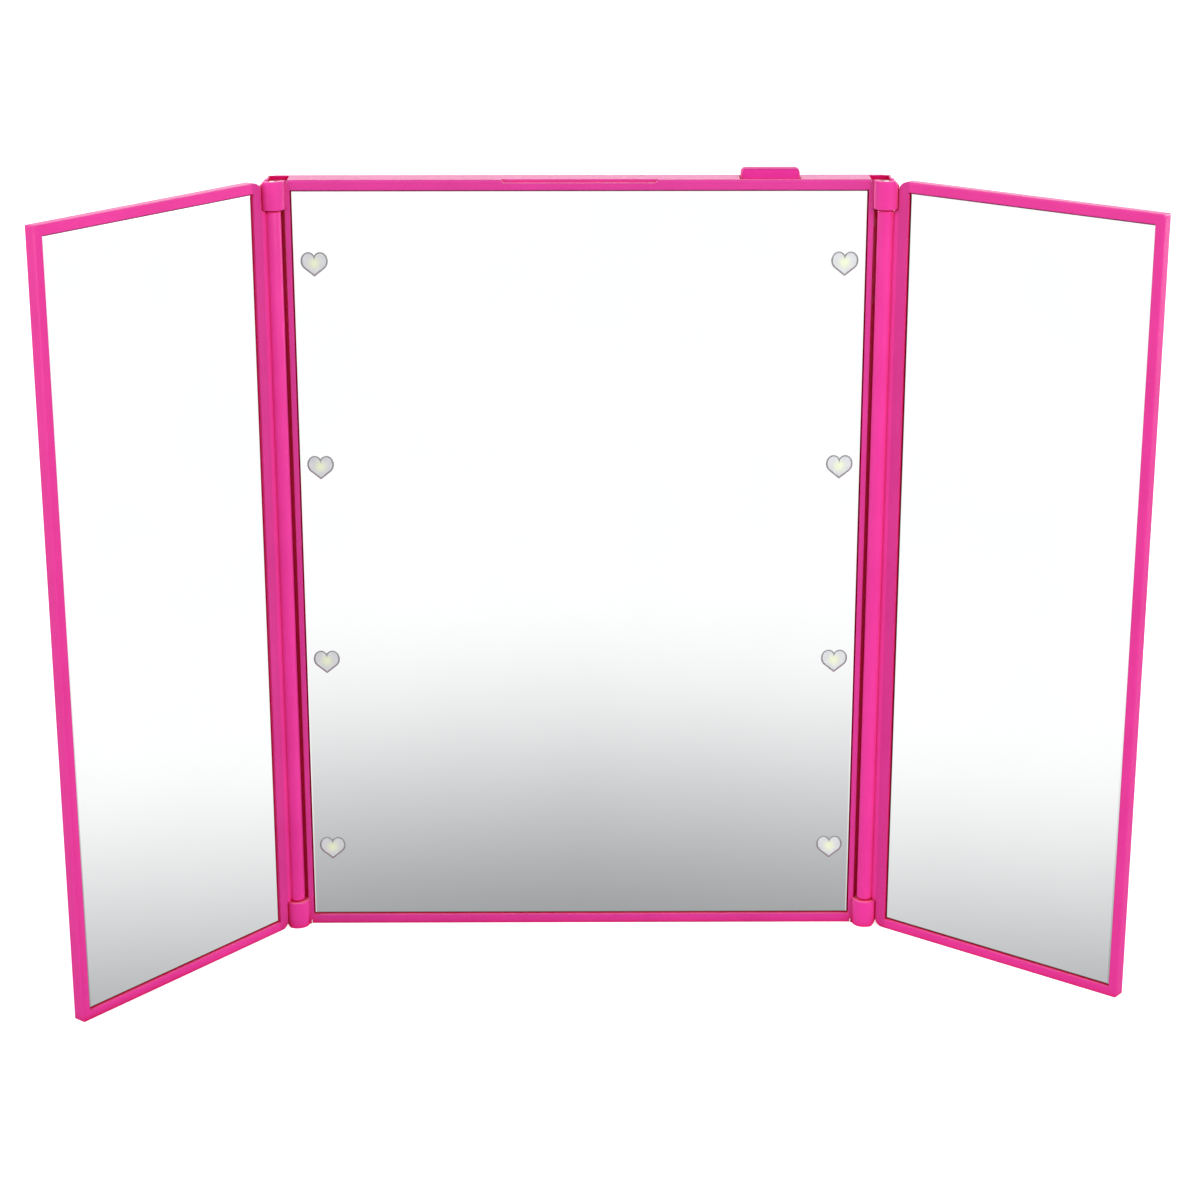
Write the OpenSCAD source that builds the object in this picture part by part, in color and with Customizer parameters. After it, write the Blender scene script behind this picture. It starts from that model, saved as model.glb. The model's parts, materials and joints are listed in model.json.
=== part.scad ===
// Trifold vanity mirror that stands on its own edges: a deep centre case with a lit mirror,
// and two thin wing mirrors on pin hinges that fold over it like cupboard doors.
// Millimetres. +Z up, the mirrors face -Y. The origin is at the middle of the centre case's
// bottom face, so everything stands on Z = 0.

/* [Panels] */
// Height of the three panels
panel_h = 172; // [150:1:200]
// Width of the centre case's front rim
case_w = 125; // [112:1:150]
// Depth of the closed centre case, front rim to back
case_t = 7.6; // [7.4:0.1:10]
// Thickness of a wing
wing_t = 3.4; // [3:0.1:4.5]
// Width of the rim above and below every mirror
rim_z = 2.2; // [1.8:0.1:3]
// Width of the centre rim beside its mirror
rim_side = 1.1; // [0.9:0.1:2.5]
// Width of a wing's rim at its free edge
rim_free = 2; // [1.5:0.1:4]
// Width of a wing's rim on the hinge side, from the hinge axis
rim_hinge = 5.3; // [4.6:0.1:7]
// Gap between the free edges of the wings when both are closed
meet_gap = 0.5; // [0.3:0.1:1.5]
// How far the left wing is folded forward of the centre's plane, in degrees
left_fold = 50.7; // [0:0.1:180]
// How far the right wing is folded forward of the centre's plane, in degrees
right_fold = 37.8; // [0:0.1:180]

/* [Mirrors and windows] */
// How far the mirrors lie behind the rims
mirror_recess = 0.4; // [0.2:0.1:0.8]
// Thickness of the mirror sheet
mirror_t = 1.4; // [1:0.1:2]
// Thickness of the mounting tape behind each mirror
tape_t = 0.2; // [0.15:0.05:0.4]
// Width of a heart window
heart_w = 5.8; // [4:0.1:8]
// Distance of the hearts from the mirror's side edge to their middle
heart_inset = 4.75; // [4.2:0.05:12]
// Height of the lowest heart's middle above the table
heart_low = 18.5; // [14:0.1:26]
// Distance of the highest heart's middle from the top edge
heart_high = 18.4; // [14:0.1:26]
// Hearts on each side
hearts = 4; // [2:1:4]

/* [Case walls] */
// Thickness of the case's web behind the mirror
web_t = 0.9; // [0.7:0.1:1.5]
// Thickness of the case's side walls
side_wall = 1.5; // [1.2:0.1:3]
// Depth of the front half of the case
seam_d = 5.8; // [5.7:0.1:6.2]
// Thickness of the back cover
cover_t = 1.1; // [0.9:0.1:1.4]
// Rounding of the edges round the back
back_r = 1.6; // [0.8:0.1:2]
// Rounding of the front edges
front_r = 0.35; // [0.2:0.05:0.8]
// Rounding of the wing corners beside the hinge
wing_corner_r = 2.4; // [1:0.1:4]
// Length of the finger recess in the top edge
recess_l = 33.4; // [15:0.1:60]
// Height and depth of the finger recess
recess_d = 1; // [0.6:0.1:1.4]

/* [Hinges] */
// Radius of the knuckles on the centre case
knuckle_r = 2.65; // [2.2:0.05:3.2]
// Height of a knuckle
knuckle_h = 6.1; // [4:0.1:10]
// Distance of the hinge axis from the rim's side, also the radius of the cove for the barrel
axis_out = 2.55; // [2.4:0.05:3.5]
// How far the case's side stands past the hinge axis, behind the barrel
side_out = 1.35; // [0.8:0.05:1.6]
// Distance of the hinge axis in front of the rims
axis_front = 0.2; // [0.15:0.05:0.6]
// Radius of the wing's long barrel
barrel_r = 1.75; // [1.4:0.05:2]
// Radius of a hinge pin
pin_r = 0.7; // [0.5:0.05:0.9]
// How far a pin runs into the barrel
pin_reach = 6.5; // [4:0.5:12]

/* [Power button] */
// Place of the button along the top, from the middle
button_x = 40.5; // [20:0.5:46]
// Length of the button
button_l = 12.6; // [9:0.1:16]
// Depth of the button, front to back
button_t = 4.2; // [3.6:0.1:4.3]
// How far the button stands out of the top
button_out = 2.1; // [1.4:0.1:3]
// Travel of the button
button_travel = 0.9; // [0.5:0.05:0.9]

/* [Battery bay] */
// Diameter of a coin cell
cell_d = 20; // [16:0.5:20]
// Thickness of a coin cell
cell_t = 2.5; // [1.6:0.1:2.5]
// How far the battery door reaches past the cells at each side
door_side = 2.4; // [1.5:0.1:5]
// How far the battery door reaches above the cells
door_above = 5.8; // [5:0.1:12]

/* [Hidden] */
$fn = 48;

// Clearances
gap = 0.15;          // between pieces that slide or drop in
seat = 0.05;         // between faces that rest on each other
run = 0.05;          // of a pin in the hole it turns in
press = 0.01;        // of a pin in the hole that grips it
touch = 0.01;        // between faces that are glued or soldered
swing = 0.35;        // between a knuckle and the wing that swings past it
over = 1;            // how far a cut runs past a face

// Depths, counted from the front rim of the centre case towards the back
front_y = -case_t / 2;
web_front = mirror_recess + mirror_t + tape_t;
web_back = web_front + web_t;
cover_in = case_t - cover_t;
board_t = 0.8;
board_in = web_back + seat;
board_back = board_in + board_t;
door_in = seam_d + gap;

// Widths and heights
mirror_half = case_w / 2 - rim_side;
mirror_top = panel_h - rim_z;
room_half = case_w / 2 - side_wall;
corner_r = 1.3;
heart_x = mirror_half - heart_inset;
heart_step = (panel_h - heart_low - heart_high) / (hearts - 1);
axis_x = case_w / 2 + axis_out;
axis_y = front_y - axis_front;
side_x = axis_x + side_out;
reach = axis_x - meet_gap / 2;
well_r = 2.1;        // of the light's hole behind a heart

// Battery bay, two cells side by side behind the foot of the mirror
cell_apart = 1.6;    // from the middle of the case to a cell's edge
cell_rise = 2;       // from the lower rim to a cell's edge
bay_x = cell_apart + cell_d / 2;
bay_z = rim_z + cell_rise + cell_d / 2;
bay_wall = 0.9;      // of the ring round a cell
door_w = 2 * (bay_x + cell_d / 2 + door_side);
door_h = bay_z + cell_d / 2 + door_above;
rail_t = 2.4;        // of the rails beside the door
pass_h = 3;          // of the wires' pass through a rail

// Colours, red green blue
PINK = [0.94, 0.27, 0.62];
DEEP_PINK = [0.86, 0.2, 0.52];
SILVER = [0.86, 0.88, 0.9];
FROST = [0.84, 0.86, 0.82];
FOAM = [0.22, 0.22, 0.24];
BOARD = [0.08, 0.36, 0.2];
GLOW = [0.93, 0.95, 0.6];
STEEL = [0.72, 0.73, 0.75];
BRASS = [0.83, 0.69, 0.37];
BLACK = [0.1, 0.1, 0.1];
RED = [0.75, 0.1, 0.1];

function at(d) = front_y + d;
function arc(c, r, a0, a1, n = 6) =
    [for (i = [0:n]) c + r * [cos(a0 + (a1 - a0) * i / n), sin(a0 + (a1 - a0) * i / n)]];
// Corners of a rounded rectangle, radii from low left, anticlockwise; one step makes a chamfer
function soft_rect(u0, u1, v0, v1, r, n = 6) = concat(
    arc([u0 + r[0], v0 + r[0]], r[0], 180, 270, n),
    arc([u1 - r[1], v0 + r[1]], r[1], 270, 360, n),
    arc([u1 - r[2], v1 - r[2]], r[2], 0, 90, n),
    arc([u0 + r[3], v1 - r[3]], r[3], 90, 180, n));
// Half section of a turned post, its lower and upper edge rounded
function post(r, h, low, high, n = 4) = concat([[0, 0]],
    arc([r - low, low], low, 270, 360, n), arc([r - high, h - high], high, 0, 90, n), [[0, h]]);

// An outline drawn in X and Z, thick from depth y0 to y1
module slab(y0, y1) translate([0, y1, 0]) rotate([90, 0, 0]) linear_extrude(y1 - y0) children();
// A section drawn in Y and Z, long from x0 to x1
module bar(x0, x1) translate([x0, 0, 0]) rotate([90, 0, 90]) linear_extrude(x1 - x0) children();
module box(x0, x1, y0, y1, z0, z1) translate([x0, y0, z0]) cube([x1 - x0, y1 - y0, z1 - z0]);
// A round bar along Y
module peg(x, z, y0, y1, r) translate([x, y1, z]) rotate([90, 0, 0]) cylinder(r = r, h = y1 - y0);
module both() { children(); mirror([1, 0, 0]) children(); }

// A panel whose outline, plan and side view all have rounded corners
module soft_panel(x0, x1, y0, y1, z0, z1, rf, rb, rc) intersection() {
    slab(y0, y1) polygon(soft_rect(x0, x1, z0, z1, rc));
    translate([0, 0, z0]) linear_extrude(z1 - z0) polygon(soft_rect(x0, x1, y0, y1, [rf, rf, rb, rb]));
    bar(x0, x1) polygon(soft_rect(y0, y1, z0, z1, [rf, rb, rb, rf]));
}

// Heart made of a square on its tip and two half circles, w wide, and as far out as its square's side
function heart_side(w) = w / (1 + sqrt(0.5));
module heart(w) {
    rotate(45) square(heart_side(w), center = true);
    for (s = [-1, 1]) translate([s, 1] * heart_side(w) * sqrt(0.125)) circle(d = heart_side(w));
}
module each_heart() for (i = [0:hearts - 1]) translate([heart_x, 0, heart_low + i * heart_step]) children();

// ---- Centre case ----
// The whole case: its sides have a cove along the front, where the wing's barrel lies
module case_solid() difference() {
    soft_panel(-side_x, side_x, front_y, -front_y, 0, panel_h, front_r, back_r,
        [corner_r, corner_r, corner_r, corner_r]);
    both() {
        box(case_w / 2, side_x + over, at(-over), axis_y, -over, panel_h + over);
        box(axis_x, side_x + over, axis_y - over, axis_y + axis_out, -over, panel_h + over);
        translate([axis_x, axis_y, -over]) cylinder(r = axis_out, h = panel_h + 2 * over);
    }
}

boss_r = 2.3;
shank_r = 0.8;
head_r = 1.6;
head_t = 0.75;
screw_tip = web_back + 0.6;
screw_floor = case_t - head_t - gap;
tip_room = 0.2;      // past the screw's tip
screw_inset = 13.5;  // from the rim's side
screw_z = 24;        // from the top and the bottom
module each_screw() for (side = [-1, 1], z = [screw_z, panel_h - screw_z])
    translate([side * (case_w / 2 - screw_inset), 0, z]) children();

stake_r = 0.7;
module each_stake() for (i = [0:hearts - 2])
    translate([heart_x, 0, heart_low + (i + 0.5) * heart_step]) children();

module each_bay() for (s = [-1, 1]) translate([s * bay_x, 0, bay_z]) children();

knuckle_back = seam_d + axis_front;
module knuckle_plan() {
    circle(r = knuckle_r);
    polygon([[-axis_out - rim_side / 2, 0], [knuckle_r, 0], [side_out, axis_out], [side_out, knuckle_back],
             [-axis_out - rim_side / 2, knuckle_back]]);
}
// A knuckle with a rounded front, a sloping shoulder on its outer side, its hole, and the pocket
// that the pin is driven in from. Drawn for the top of the right side, its upper face on Z = 0.
knuckle_soft = 0.6;  // rounding of the upper front edge
knuckle_low = 0.3;   // rounding of the lower front edge
shoulder_w = 1.1;
shoulder_h = 1.7;
pocket_d = 0.9;
pocket_in = 1.5;     // from the hinge axis towards the case
pocket_out = 0.9;    // and away from it
pocket_wall = 1.7;   // behind the pocket
funnel_foot = 0.2;   // round the pin at the funnel's foot
funnel_wall = 0.95;  // left round the funnel's mouth
module knuckle() difference() {
    intersection() {
        translate([0, 0, -knuckle_h]) linear_extrude(knuckle_h) knuckle_plan();
        slab(-2 * knuckle_r, 2 * seam_d) polygon([[-2 * knuckle_r, -knuckle_h - over],
            [knuckle_r + over, -knuckle_h - over],
            [knuckle_r + over, -shoulder_h - over * shoulder_h / shoulder_w],
            [knuckle_r - shoulder_w, 0], [-2 * knuckle_r, 0]]);
        union() {
            translate([0, 0, -knuckle_h]) rotate_extrude()
                polygon(post(knuckle_r, knuckle_h, knuckle_low, knuckle_soft));
            box(-2 * knuckle_r, 2 * knuckle_r, 0, knuckle_back + over, -knuckle_h - over, over);
        }
    }
    translate([0, 0, -knuckle_h - over]) cylinder(r = pin_r + press, h = knuckle_h + 2 * over);
    translate([0, 0, -pocket_d])
        cylinder(r1 = pin_r + funnel_foot, r2 = knuckle_r - funnel_wall, h = pocket_d + 0.001);
    box(-pocket_in, pocket_out, 0, knuckle_back - pocket_wall, -pocket_d, over);
}
module each_knuckle(side) for (up = [0, 1]) translate([side * axis_x, axis_y, up * panel_h])
    mirror([side < 0 ? 1 : 0, 0, 0]) mirror([0, 0, up < 1 ? 1 : 0]) children();

// Pocket and guide hole for the power button
button_front = 0.7;
cap_foot = 0.6;
pocket_floor = cap_foot + button_travel + 0.1;
stem_l = 7;
stem_t = 1.6;
stem_d = web_back + 0.4;
module button_cut() {
    box(button_x - button_l / 2 - gap, button_x + button_l / 2 + gap,
        at(button_front - gap), at(button_front + button_t + gap), panel_h - pocket_floor, panel_h + over);
    box(button_x - stem_l / 2 - gap, button_x + stem_l / 2 + gap,
        at(stem_d - gap), at(stem_d + stem_t + gap), panel_h - rim_z - over, panel_h);
}

recess_in = 1.4;     // of the finger recess, from the front
stake_over = 0.3;    // of a stake past the light board
ring_low = 0.2;      // of a cell's ring below the cell's top
module center_frame() color(PINK) {
    difference() {
        union() {
            difference() {
                intersection() {
                    case_solid();
                    box(-case_w, case_w, at(-over), at(seam_d), -over, panel_h + over);
                }
                box(-mirror_half, mirror_half, at(-over), at(web_front), rim_z, mirror_top);
                box(-room_half, room_half, at(web_back), at(seam_d + over), rim_z, mirror_top);
            }
            each_screw() peg(0, 0, at(web_back - seat), at(seam_d), boss_r);
            both() each_stake() peg(0, 0, at(web_back - seat), at(board_back + stake_over), stake_r);
            each_bay() difference() {
                peg(0, 0, at(web_back - seat), at(web_back + cell_t - ring_low), cell_d / 2 + gap + bay_wall);
                peg(0, 0, at(web_back - over), at(seam_d), cell_d / 2 + gap);
                box(-tail_w / 2 - gap, tail_w / 2 + gap, at(web_back), at(seam_d), 0, cell_d);
            }
            both() box(door_w / 2 - rail_t / 2, door_w / 2 + rail_t / 2, at(web_back - seat), at(seam_d),
                rim_z - seat, door_h);
            each_knuckle(1) knuckle();
            each_knuckle(-1) knuckle();
        }
        both() each_heart() peg(0, 0, at(web_front - over), at(web_back + over), well_r);
        each_screw() peg(0, 0, at(screw_tip - tip_room), at(seam_d + over), shank_r + 2 * touch);
        button_cut();
        slab(at(-over), at(recess_in)) polygon([
            [-recess_l / 2, panel_h + over], [-recess_l / 2 + over + recess_d, panel_h - recess_d],
            [recess_l / 2 - over - recess_d, panel_h - recess_d], [recess_l / 2, panel_h + over]]);
        // wire passes through the rails beside the battery bay
        both() box(door_w / 2 - rail_t, door_w / 2 + rail_t, at(board_back), at(seam_d - over),
            door_h - 2 * pass_h, door_h - pass_h);
    }
}

lip_t = 0.8;         // of the lip inside the front half's walls
rib_t = 1;
rib_h = 0.5;
rib_inset = 8;       // from the side walls
ribs_at = [0.36, 0.5, 0.64];  // shares of the height
module back_cover() color(PINK) difference() {
    union() {
        difference() {
            intersection() {
                case_solid();
                box(-case_w, case_w, at(seam_d + seat), at(case_t + over), -over, panel_h + over);
            }
            box(-room_half, room_half, at(seam_d), at(cover_in), rim_z, mirror_top);
        }
        // locating lip inside the front half's walls
        difference() {
            box(-room_half + gap, room_half - gap, at(seam_d - over), at(cover_in),
                rim_z + gap, mirror_top - gap);
            box(-room_half + gap + lip_t, room_half - gap - lip_t, at(seam_d - 2 * over), at(case_t),
                rim_z + gap + lip_t, mirror_top - gap - lip_t);
            box(button_x - button_l / 2, button_x + button_l / 2, at(seam_d - 2 * over), at(seam_d + seat),
                panel_h / 2, panel_h);
            box(-door_w, door_w, at(seam_d - 2 * over), at(case_t), 0, rim_z + 2);
        }
        each_screw() peg(0, 0, at(seam_d + seat), at(cover_in + seat), boss_r);
        // stiffening ribs on the inside
        for (z = ribs_at * panel_h)
            box(-room_half + rib_inset, room_half - rib_inset, at(cover_in - rib_h), at(cover_in + seat),
                z - rib_t / 2, z + rib_t / 2);
    }
    door_room(door_w / 2, at(seam_d - over), at(case_t + over), door_h);
    door_room(door_w / 2 + door_tongue + gap, at(seam_d - 2 * over), at(tongue_out + gap),
        door_h + door_tongue + gap);
    each_screw() {
        peg(0, 0, at(seam_d - over), at(case_t), shank_r + gap);
        peg(0, 0, at(screw_floor), at(case_t + over), head_r + gap);
    }
}

// ---- Battery door: slides down off the lower edge of the back ----
door_tongue = 0.8;   // how far the door's tongue reaches behind the cover
tongue_out = door_in + 0.55;
door_foot = 0.3;     // from the table
bridge_t = 0.2;
grips = 5;           // grooves for the thumb, the lowest the widest
grip_l = 14;
grip_d = 0.35;
grip_z = 7;
grip_step = 1.6;
module door_room(half, y0, y1, top) box(-half, half, y0, y1, -over, top);
module battery_door() color(PINK) difference() {
    union() {
        intersection() {
            case_solid();
            door_room(door_w / 2 - gap, at(door_in), at(case_t + over), door_h - gap);
            box(-door_w, door_w, at(door_in), at(case_t + over), door_foot, panel_h);
        }
        door_lip(at(door_in), at(tongue_out));
    }
    for (i = [0:grips - 1]) box(-grip_l / 2 + i, grip_l / 2 - i, at(case_t - grip_d), at(case_t + over),
        grip_z + i * grip_step, grip_z + (i + 0.5) * grip_step);
    box(-bridge_l / 2 - gap, bridge_l / 2 + gap, at(door_in - over), at(door_in + bridge_t),
        bay_z - bridge_h / 2 - gap, bay_z + bridge_h / 2 + gap);
}
module door_lip(y0, y1) box(-door_w / 2 - door_tongue + gap, door_w / 2 + door_tongue - gap, y0, y1,
    back_r, door_h + door_tongue - gap);

// ---- Mirrors, tapes and heart windows ----
polish = 0.25;       // bevel round the front of a sheet
ground = 0.05;       // broken edge round its back
module sheet(x0, x1, y0) intersection() {
    translate([0, 0, rim_z + gap]) linear_extrude(mirror_top - rim_z - 2 * gap)
        polygon(soft_rect(x0, x1, y0, y0 + mirror_t, [polish, polish, ground, ground], 1));
    bar(x0, x1) polygon(soft_rect(y0, y0 + mirror_t, rim_z + gap, mirror_top - gap,
        [polish, ground, ground, polish], 1));
}
module center_mirror() color(SILVER) difference() {
    sheet(-mirror_half + gap, mirror_half - gap, at(mirror_recess));
    both() each_heart() slab(at(0), at(web_front)) heart(heart_w);
}
tape_in = 0.6;
module center_tape() color(FOAM) difference() {
    box(-mirror_half + tape_in, mirror_half - tape_in, at(web_front - tape_t + touch), at(web_front - touch),
        rim_z + tape_in, mirror_top - tape_in);
    both() each_heart() peg(0, 0, at(0), at(web_front + over), heart_side(heart_w) + gap);
}
window_rim = 0.3;    // width of the sunk rim round a window's face
window_step = 0.12;  // how far it is sunk
module heart_windows() each_heart() {
    slab(at(mirror_recess + window_step), at(web_front - touch)) heart(heart_w - 2 * seat);
    slab(at(mirror_recess), at(mirror_recess + 2 * window_step)) heart(heart_w - 2 * (seat + window_rim));
}
module heart_windows_left() color(FROST) mirror([1, 0, 0]) heart_windows();
module heart_windows_right() color(FROST) heart_windows();

// ---- Lighting ----
board_w = 5;
board_end = 7;
led_w = 2;
led_t = 0.6;
lens_r = 0.85;
lens_in = 0.5;       // how deep the lens sits in the light's block
module led_board() difference() {
    box(heart_x - board_w / 2, heart_x + board_w / 2, at(board_in), at(board_back),
        heart_low - board_end, heart_low + (hearts - 1) * heart_step + board_end);
    each_stake() peg(0, 0, at(0), at(case_t), stake_r + gap);
}
module leds() each_heart() {
    box(-led_w / 2, led_w / 2, at(board_in - led_t), at(board_in), -led_w / 2, led_w / 2);
    intersection() {
        translate([0, at(board_in - led_t + lens_in), 0]) sphere(r = lens_r);
        box(-led_w, led_w, at(board_in - 2 * led_t), at(board_in - led_t + seat), -led_w, led_w);
    }
}
module led_board_left() color(BOARD) mirror([1, 0, 0]) led_board();
module led_board_right() color(BOARD) led_board();
module leds_left() color(GLOW) mirror([1, 0, 0]) leds();
module leds_right() color(GLOW) leds();

// ---- Switch under the button ----
flange_t = 0.8;
flange_top = panel_h - rim_z - seat;
flange_foot = flange_top - flange_t;
switch_top = flange_foot - button_travel - 0.6;
switch_w = 6;
switch_h = 4.4;
switch_t = 2.3;
switch_in = board_back + 2 * touch;
plunger_w = 2.6;
plunger_t = 1.2;
plunger_in = switch_in + 0.5;
plunger_l = 3.2;
plunger_room = 0.2;  // below the plunger when it is pressed
sboard_w = 15;
sboard_h = 13;
sboard_top = flange_foot - button_travel - 0.4;
module switch_board() color(BOARD)
    box(button_x - sboard_w / 2, button_x + sboard_w / 2, at(board_in), at(board_back),
        sboard_top - sboard_h, sboard_top);
resistor_x = 3.5;    // from the board's middle
resistor_z = 3;      // from its foot
resistor = [1.6, 0.6, 3.2];
module resistors() color(BLACK) for (s = [-1, 1])
    translate([button_x + s * resistor_x - resistor[0] / 2, at(board_back + 2 * touch),
        sboard_top - sboard_h + resistor_z - resistor[2] / 2]) cube(resistor);
module switch_housing() color(BLACK) difference() {
    box(button_x - switch_w / 2, button_x + switch_w / 2, at(switch_in), at(switch_in + switch_t),
        switch_top - switch_h, switch_top);
    box(button_x - plunger_w / 2 - gap, button_x + plunger_w / 2 + gap, at(plunger_in - gap),
        at(plunger_in + plunger_t + gap), flange_foot - plunger_l - button_travel - plunger_room, panel_h);
}
module switch_plunger() color(STEEL)
    box(button_x - plunger_w / 2, button_x + plunger_w / 2, at(plunger_in), at(plunger_in + plunger_t),
        flange_foot - plunger_l, flange_foot - 2 * touch);

button_r = 0.9;
button_edge = 0.3;
module power_button() color(DEEP_PINK) {
    intersection() {
        slab(at(0), at(case_t)) polygon(soft_rect(button_x - button_l / 2, button_x + button_l / 2,
            panel_h - cap_foot, panel_h + button_out, [button_edge, button_edge, button_r, button_r]));
        bar(0, panel_h) polygon(soft_rect(at(button_front), at(button_front + button_t),
            panel_h - cap_foot, panel_h + button_out, [button_edge, button_edge, button_r, button_r]));
        linear_extrude(2 * panel_h) polygon(soft_rect(button_x - button_l / 2, button_x + button_l / 2,
            at(button_front), at(button_front + button_t), [button_r, button_r, button_r, button_r]));
    }
    box(button_x - stem_l / 2, button_x + stem_l / 2, at(stem_d), at(stem_d + stem_t),
        flange_foot, panel_h - cap_foot + seat);
    box(button_x - stem_l / 2 - 1, button_x + stem_l / 2 + 1, at(stem_d), at(stem_d + stem_t),
        flange_foot, flange_top);
}

// ---- Batteries and contacts ----
leaf_t = 0.2;
cell_in = web_back + seat + leaf_t + seat;
cap_r = cell_d / 2 - 1.4;
cap_step = 0.25;
module coin_cell(cap_front) {
    rim_front = cap_front ? cap_step : 0;
    rim_back = cell_t - (cap_front ? 0 : cap_step);
    peg(0, 0, at(cell_in + rim_front), at(cell_in + rim_back), cell_d / 2);
    peg(0, 0, at(cell_in), at(cell_in + cell_t), cap_r);
}
module cell_left() color(STEEL) translate([-bay_x, 0, bay_z]) coin_cell(true);
module cell_right() color(STEEL) translate([bay_x, 0, bay_z]) coin_cell(false);
leaf_r = 5;
tail_w = 2.4;
leaf_end = 3;        // of a leaf's tail past the cell
module leaf() {
    peg(0, 0, at(web_back + seat), at(web_back + seat + leaf_t), leaf_r);
    box(-tail_w / 2, tail_w / 2, at(web_back + seat), at(web_back + seat + leaf_t),
        0, cell_d / 2 + leaf_end);
}
module contact_left() color(BRASS) translate([-bay_x, 0, bay_z]) leaf();
module contact_right() color(BRASS) translate([bay_x, 0, bay_z]) leaf();
bridge_over = 4.5;   // past the middle of each cell
bridge_l = 2 * (bay_x + bridge_over);
bridge_h = 2 * bridge_over;
module contact_bridge() color(BRASS)
    box(-bridge_l / 2, bridge_l / 2, at(door_in + touch), at(door_in + bridge_t - touch),
        bay_z - bridge_h / 2, bay_z + bridge_h / 2);

// ---- Wires: from the battery leaves to the switch board and on to the two light boards ----
wire_r = 0.4;
wire_y = at(board_back + wire_r + 2 * touch);
// A round wire along points in X and Z
module wire(points) {
    for (i = [0:len(points) - 2]) {
        leg = points[i + 1] - points[i];
        translate([points[i][0], wire_y, points[i][1]]) rotate([0, atan2(leg[0], leg[1]), 0])
            cylinder(r = wire_r, h = norm(leg), $fn = 16);
    }
    for (p = points) translate([p[0], wire_y, p[1]]) sphere(r = wire_r, $fn = 16);
}
pad_in = 1;          // of a solder pad from its board's edge
pads = [-7, -5, -2, 5];  // left lights, left cell, right cell, right lights, from the button's middle
lane = 3;            // between the levels of two wires
lane_z = 8;          // of the lower one above the door
shelf_z = 1.5;       // of the lights' wires below the switch board
wire_foot = bay_z + cell_d / 2 + leaf_end - 2 * wire_r;
wire_turn = door_h + lane_z;
board_foot = sboard_top - sboard_h;
wire_head = board_foot + pad_in;
wire_shelf = board_foot - shelf_z;
module cell_wire(x, pad, turn)
    wire([[x, wire_foot], [x, turn], [button_x + pad, turn], [button_x + pad, wire_head]]);
module light_wire(x, pad) wire([[button_x + pad, wire_head], [button_x + pad, wire_shelf], [x, wire_shelf]]);
module wires() color(RED) {
    light_wire(-heart_x + pad_in, pads[0]);
    cell_wire(-bay_x, pads[1], wire_turn + lane);
    cell_wire(bay_x, pads[2], wire_turn);
    light_wire(heart_x - pad_in, pads[3]);
}

// ---- Fasteners ----
module cover_screws() color(STEEL) each_screw() {
    peg(0, 0, at(screw_floor + 2 * touch), at(screw_floor + head_t), head_r);
    peg(0, 0, at(screw_tip), at(screw_floor + 3 * touch), shank_r);
}
pin_top = pocket_d - 0.15;
pin_l = knuckle_h - pin_top + pin_reach;
pin_tip = 0.15;      // chamfer of a pin's ends
module hinge_pins(side) color(STEEL) each_knuckle(side)
    translate([0, 0, -pin_top - pin_l]) rotate_extrude() polygon(post(pin_r, pin_l, pin_tip, pin_tip, 1));
module left_hinge_pins() hinge_pins(-1);
module right_hinge_pins() hinge_pins(1);

// ---- Wings, drawn flat for the right side: X from the hinge axis, Y behind the axis plane ----
wing_corner_free = 0.8;
neck_t = 1.35;
plate_in = side_out + 0.6;
root_r = 0.2;
groove_r = 0.8;
groove_dip = 0.985;  // draws the filler's tip a little into the barrel
filler_in = 0.5;     // how deep the filler is rooted in the neck
barrel_end = knuckle_h + 0.25;
barrel_soft = 0.45;  // rounding of the barrel's ends
pin_room = 0.5;      // past a pin's end
wing_in = knuckle_r + swing;
module on_wing(side) translate([side * axis_x, axis_y, 0])
    rotate([0, 0, side < 0 ? left_fold : -right_fold]) mirror([side < 0 ? 1 : 0, 0, 0]) children();

// Section through the barrel's neck, its filler, and the edge of the plate behind
module hinge_section() {
    groove_x = groove_dip * sqrt(pow(barrel_r + groove_r, 2) - pow(axis_front - groove_r, 2));
    translate([0, axis_front]) square([wing_in + over, neck_t]);
    polygon(soft_rect(plate_in, wing_in + over, axis_front, axis_front + wing_t,
        [root_r, root_r, root_r, wing_t / 3]));
    difference() {
        polygon([[0, 0], [0, axis_front + filler_in],
            [groove_x, axis_front + filler_in], [groove_x, axis_front - groove_r]]);
        translate([groove_x, axis_front - groove_r]) circle(r = groove_r);
    }
}
module wing_frame() difference() {
    union() {
        soft_panel(wing_in, reach, axis_front, axis_front + wing_t, 0, panel_h, front_r, wing_t / 3,
            [wing_corner_r, wing_corner_free, wing_corner_free, wing_corner_r]);
        translate([0, 0, barrel_end]) rotate_extrude()
            polygon(post(barrel_r, panel_h - 2 * barrel_end, barrel_soft, barrel_soft));
        translate([0, 0, barrel_end + barrel_soft])
            linear_extrude(panel_h - 2 * (barrel_end + barrel_soft)) hinge_section();
    }
    box(rim_hinge, reach - rim_free, axis_front - over, axis_front + web_front, rim_z, mirror_top);
    for (z = [barrel_end - over, panel_h - barrel_end - pin_reach - pin_room])
        translate([0, 0, z]) cylinder(r = pin_r + run, h = pin_reach + pin_room + over);
}
module wing_mirror() sheet(rim_hinge + gap, reach - rim_free - gap, axis_front + mirror_recess);
module wing_tape() box(rim_hinge + tape_in, reach - rim_free - tape_in,
    axis_front + web_front - tape_t + touch, axis_front + web_front - touch,
    rim_z + tape_in, mirror_top - tape_in);
module left_wing_frame() color(PINK) on_wing(-1) wing_frame();
module left_wing_mirror() color(SILVER) on_wing(-1) wing_mirror();
module left_wing_tape() color(FOAM) on_wing(-1) wing_tape();
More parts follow.
